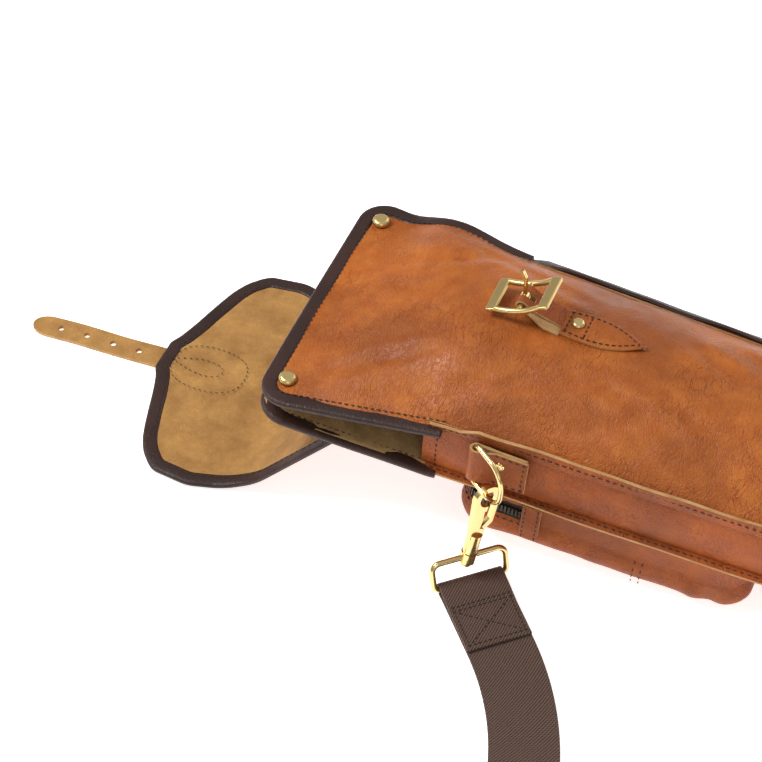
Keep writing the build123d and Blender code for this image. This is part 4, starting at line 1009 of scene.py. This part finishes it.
# Each length: its name, the bodies either side of its fold, where it starts and ends, and where it turns.
ZONES = [("root", "case", "flap_root", -15.0, 30.0, -4.0, 12.0),
         ("middle", "flap_root", "flap_mid", 30.0, 68.0, 50.0, 64.0),
         ("floor", "flap_mid", "flap", 68.0, TIP_AT - 2.0, 72.0, 96.0)]
for label, first, second, start, end, turn_from, turn_to in ZONES:
    steps = np.arange(start, end, 2.0 if label != "floor" else 1.0)
    steps = np.append(steps, end)
    sx, sv = np.meshgrid(steps, np.linspace(1, -1, 91), indexing="ij")
    slope = np.abs(np.gradient(flap_half(steps), steps))
    half = np.maximum(flap_half(steps) - 2.2 * np.sqrt(1 + slope**2), 5.5)
    sy = sv * half[:, None]
    wave = rumple(flap_point(sx, sy), [(34, 0.7), (10, 0.2)], 21)
    calm = np.clip(1 - np.abs(sv)**6, 0, 1)
    leaf = slab(f"flap_suede_{label}", flap_point(sx, sy, FLAP_THICK / 2 + wave * calm * 0.8), FLAP_THICK,
                [flap_suede, raw_edge, cognac], round_rim=0)
    hem = flap_path(4.2)
    paths = []
    for way in (1, -1):
        side = hem[(hem[:, 0] >= start) & (hem[:, 0] <= end + (5 if label == "floor" else 0))]
        if label != "floor":
            side = np.concatenate([[[start, np.interp(start, hem[:, 0], hem[:, 1])]], side,
                                   [[end, np.interp(end, hem[:, 0], hem[:, 1])]]])
        else:
            side = np.concatenate([[[start, np.interp(start, hem[:100, 0], hem[:100, 1])]], side])
        paths.append(side * np.array([1, way]))
    if label == "floor":
        paths = [np.concatenate([paths[0], paths[1][::-1]])]
    rolls = []
    for number, path in enumerate(paths):
        centres = flap_point(path[:, 0], path[:, 1], 0.15)
        ups = flap_point(path[:, 0], path[:, 1], 1.0) - flap_point(path[:, 0], path[:, 1], 0.0)
        rolls.append(roll(f"flap_binding_{label}_{number}", centres, unit(ups), 9.4, 3.9, bound,
                          sides=20, square=3.0))
    sewn = flap_path(6.3)
    stitched = []
    for way in (1, -1):
        part = sewn[(sewn[:, 0] >= start) & (sewn[:, 0] <= end)]
        stitched.append(flap_point(part[:, 0], way * part[:, 1], 2.0))
    row = seam_row(f"flap_stitches_{label}", stitch_run, stitched, black_thread,
                   pitch=4.6, long=3.3, wide=0.95, high=0.8)
    begin, finish_at = flap_point(turn_from, 0.0), flap_point(turn_to, 0.0)
    for number, made in enumerate([leaf, *rolls, row]):
        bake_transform(made)
    node = {"root": "flap_root", "middle": "flap_mid", "floor": "flap"}[label]
    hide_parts(f"{node}_panel")
    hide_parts(f"{node}_binding")
    if label == "root":
        sx, sv = np.meshgrid(np.linspace(51.5, 69, 14), np.linspace(1, -1, 61), indexing="ij")
        strip_z = np.interp(sx, [50, 104], [6.6, 0.2]) - 2.75
        strip = slab("flap_seam_strip_leather", at(sx, -4 + 71 * sv, strip_z), 0.9, [bound, raw_edge])
        fasten(strip, "case", "dark_leather", "flap_seam_strip")

# The strap's patch under the flap shows as two dotted outlines of stitches through the suede.
turn = np.linspace(0, 2 * pi, 40)
oval = np.stack([-66 - 24 * np.cos(turn) * (1 + 0.25 * np.sin(turn)**2), -10 + 18 * np.sin(turn)], axis=-1)
leaf_line = np.stack([-74 - 17 * np.cos(turn), -10 + 8 * np.sin(turn) * np.sin(turn / 2)], axis=-1)
rows = [ground(line[:, 0], line[:, 1], 5.25) for line in (oval, leaf_line)]
sew("strap_patch_stitches", rows, pitch=3.6, long=2.0, wide=0.6, high=0.5, body="flap", finish_slot="suede")
px, pv = np.meshgrid(np.linspace(-96, -50, 30), np.linspace(-1, 1, 17), indexing="ij")
under_half = 11 * np.sqrt(np.clip(1 - ((px + 73) / 23.5)**6, 0.02, 1))
patch = slab("strap_patch_leather", ground(px, FLAP_MIDDLE + under_half * pv, 1.5), 1.3,
             [lining, raw_edge, cognac])
fasten(patch, "flap", "grain_leather", "strap_patch")


# Closure strap: a tongue of the same hide from the flap's tip, with a rounded point and four holes.
TONGUE_TIP, TONGUE_HALF, HOLE_ONE, HOLE_PITCH, HOLE_ROUND = -187.35, 8, 19, 18, 0.002


def tongue_middle(x):
    """The tongue's middle line, which drifts a little to one side."""
    return -10 - 2.0 * np.clip((-98 - np.asarray(x, float)) / 90, 0, 1)**1.5


tongue_x = np.concatenate([np.linspace(-88, -108, 24)[:-1], np.linspace(-108, -187.2, 80)])
tx, tv = np.meshgrid(tongue_x, np.linspace(1, -1, 15), indexing="ij")
point = np.clip((tx - TONGUE_TIP) / 12, 0, 1)
half = TONGUE_HALF * np.sqrt(np.clip(1 - (1 - point)**2, 0.003, 1))
ripple = 0.35 * np.sin(tx / 9.0) * np.clip((-100 - tx) / 10, 0, 1)
rise = np.interp(tx, [-187, -110, -100, -88], [2.5, 2.6, 3.1, 3.4]) + ripple
tongue = slab("closure_strap_suede", ground(tx, tongue_middle(tx) + half * tv, rise), 2.3,
              [flap_suede, raw_edge, cognac])
punch = bmesh.new()
for number in range(4):
    hole_x = TONGUE_TIP + HOLE_ONE + HOLE_PITCH * number
    cutter = bmesh.ops.create_cone(punch, cap_ends=True, segments=20, radius1=HOLE_ROUND, radius2=HOLE_ROUND,
                                   depth=0.02)
    bmesh.ops.translate(punch, verts=cutter["verts"], vec=Vector(ground(hole_x, tongue_middle(hole_x), 0)))
punch_mesh = bpy.data.meshes.new("punch")
punch.to_mesh(punch_mesh)
punch.free()
puncher = bpy.data.objects.new("punch", punch_mesh)
bpy.context.scene.collection.objects.link(puncher)
cut = tongue.modifiers.new("Holes", "BOOLEAN")
cut.operation, cut.object, cut.solver = "DIFFERENCE", puncher, "EXACT"
bpy.context.view_layer.update()
shaped = bpy.data.meshes.new_from_object(tongue.evaluated_get(bpy.context.evaluated_depsgraph_get()))
tongue.modifiers.clear()
tongue.data = shaped
bpy.data.objects.remove(puncher)
tuple(ground(-94, -10, 2))
tuple(ground(-104, -10, 2))
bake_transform(tongue)
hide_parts("closure_strap")


# Studio: a pale floor that glows a little, a soft key light from the left, a faint rim and fill, a sky
# that brightens upwards, and the camera.
def light(name, spot, target, size, power):
    """A round soft light at a spot, turned to a target."""
    lamp = bpy.data.lights.new(name, "AREA")
    lamp.shape, lamp.size, lamp.energy = "DISK", size, power
    made = bpy.data.objects.new(name, lamp)
    made.location = spot
    made.rotation_mode = "QUATERNION"
    made.rotation_quaternion = (Vector(target) - Vector(spot)).to_track_quat("-Z", "Y")
    bpy.context.scene.collection.objects.link(made)


floor_mesh = bpy.data.meshes.new("studio_floor")
floor_mesh.from_pydata([(-6, -6, 0), (6, -6, 0), (6, 6, 0), (-6, 6, 0)], [], [(0, 1, 2, 3)])
floor = bpy.data.objects.new("studio_floor", floor_mesh)
bpy.context.scene.collection.objects.link(floor)
pale = bpy.data.materials.new("Matt white studio paper")
pale.use_nodes = True
paper = pale.node_tree.nodes["Principled BSDF"].inputs
paper["Base Color"].default_value = linear("#FAFAFA")
paper["Roughness"].default_value = 0.95
paper["Emission Color"].default_value = (1, 1, 1, 1)
paper["Emission Strength"].default_value = 0.72
floor_mesh.materials.append(pale)
MOUTH_END = (-0.1, 0.1, 0.05)
light("Key", (-1.5, -0.2, 1.9), MOUTH_END, 0.9, 42)
light("Rim", (0.6, 1.8, 1.2), MOUTH_END, 1.2, 6)
light("Fill", (0.9, -2.0, 1.5), MOUTH_END, 1.4, 8)
world = bpy.data.worlds.new("Studio")
bpy.context.scene.world = world
world.use_nodes = True
sky = world.node_tree
up = add(sky, "ShaderNodeSeparateXYZ", {}, {0: add(sky, "ShaderNodeTexCoord").outputs["Generated"]})
glow = add(sky, "ShaderNodeMapRange", {}, {"Value": up.outputs[2], "From Min": 0.05, "From Max": 0.75,
                                           "To Min": 0.2, "To Max": 0.55})
sky.links.new(glow.outputs[0], sky.nodes["Background"].inputs["Strength"])
sky.nodes["Background"].inputs["Color"].default_value = (1, 1, 1, 1)
bpy.context.scene.view_settings.view_transform = "Standard"
lens = bpy.data.cameras.new("Camera")
camera = bpy.data.objects.new("Camera", lens)
bpy.context.scene.collection.objects.link(camera)
camera.location = (0.130894, -0.774679, 1.152733)
camera.rotation_mode = "QUATERNION"
camera.rotation_quaternion = (Vector((-0.25541, 0.1621, 0.05)) - camera.location).to_track_quat("-Z", "Y")
lens.lens, lens.sensor_width = 119.34, 36.0
bpy.context.scene.camera = camera

bpy.context.view_layer.update()
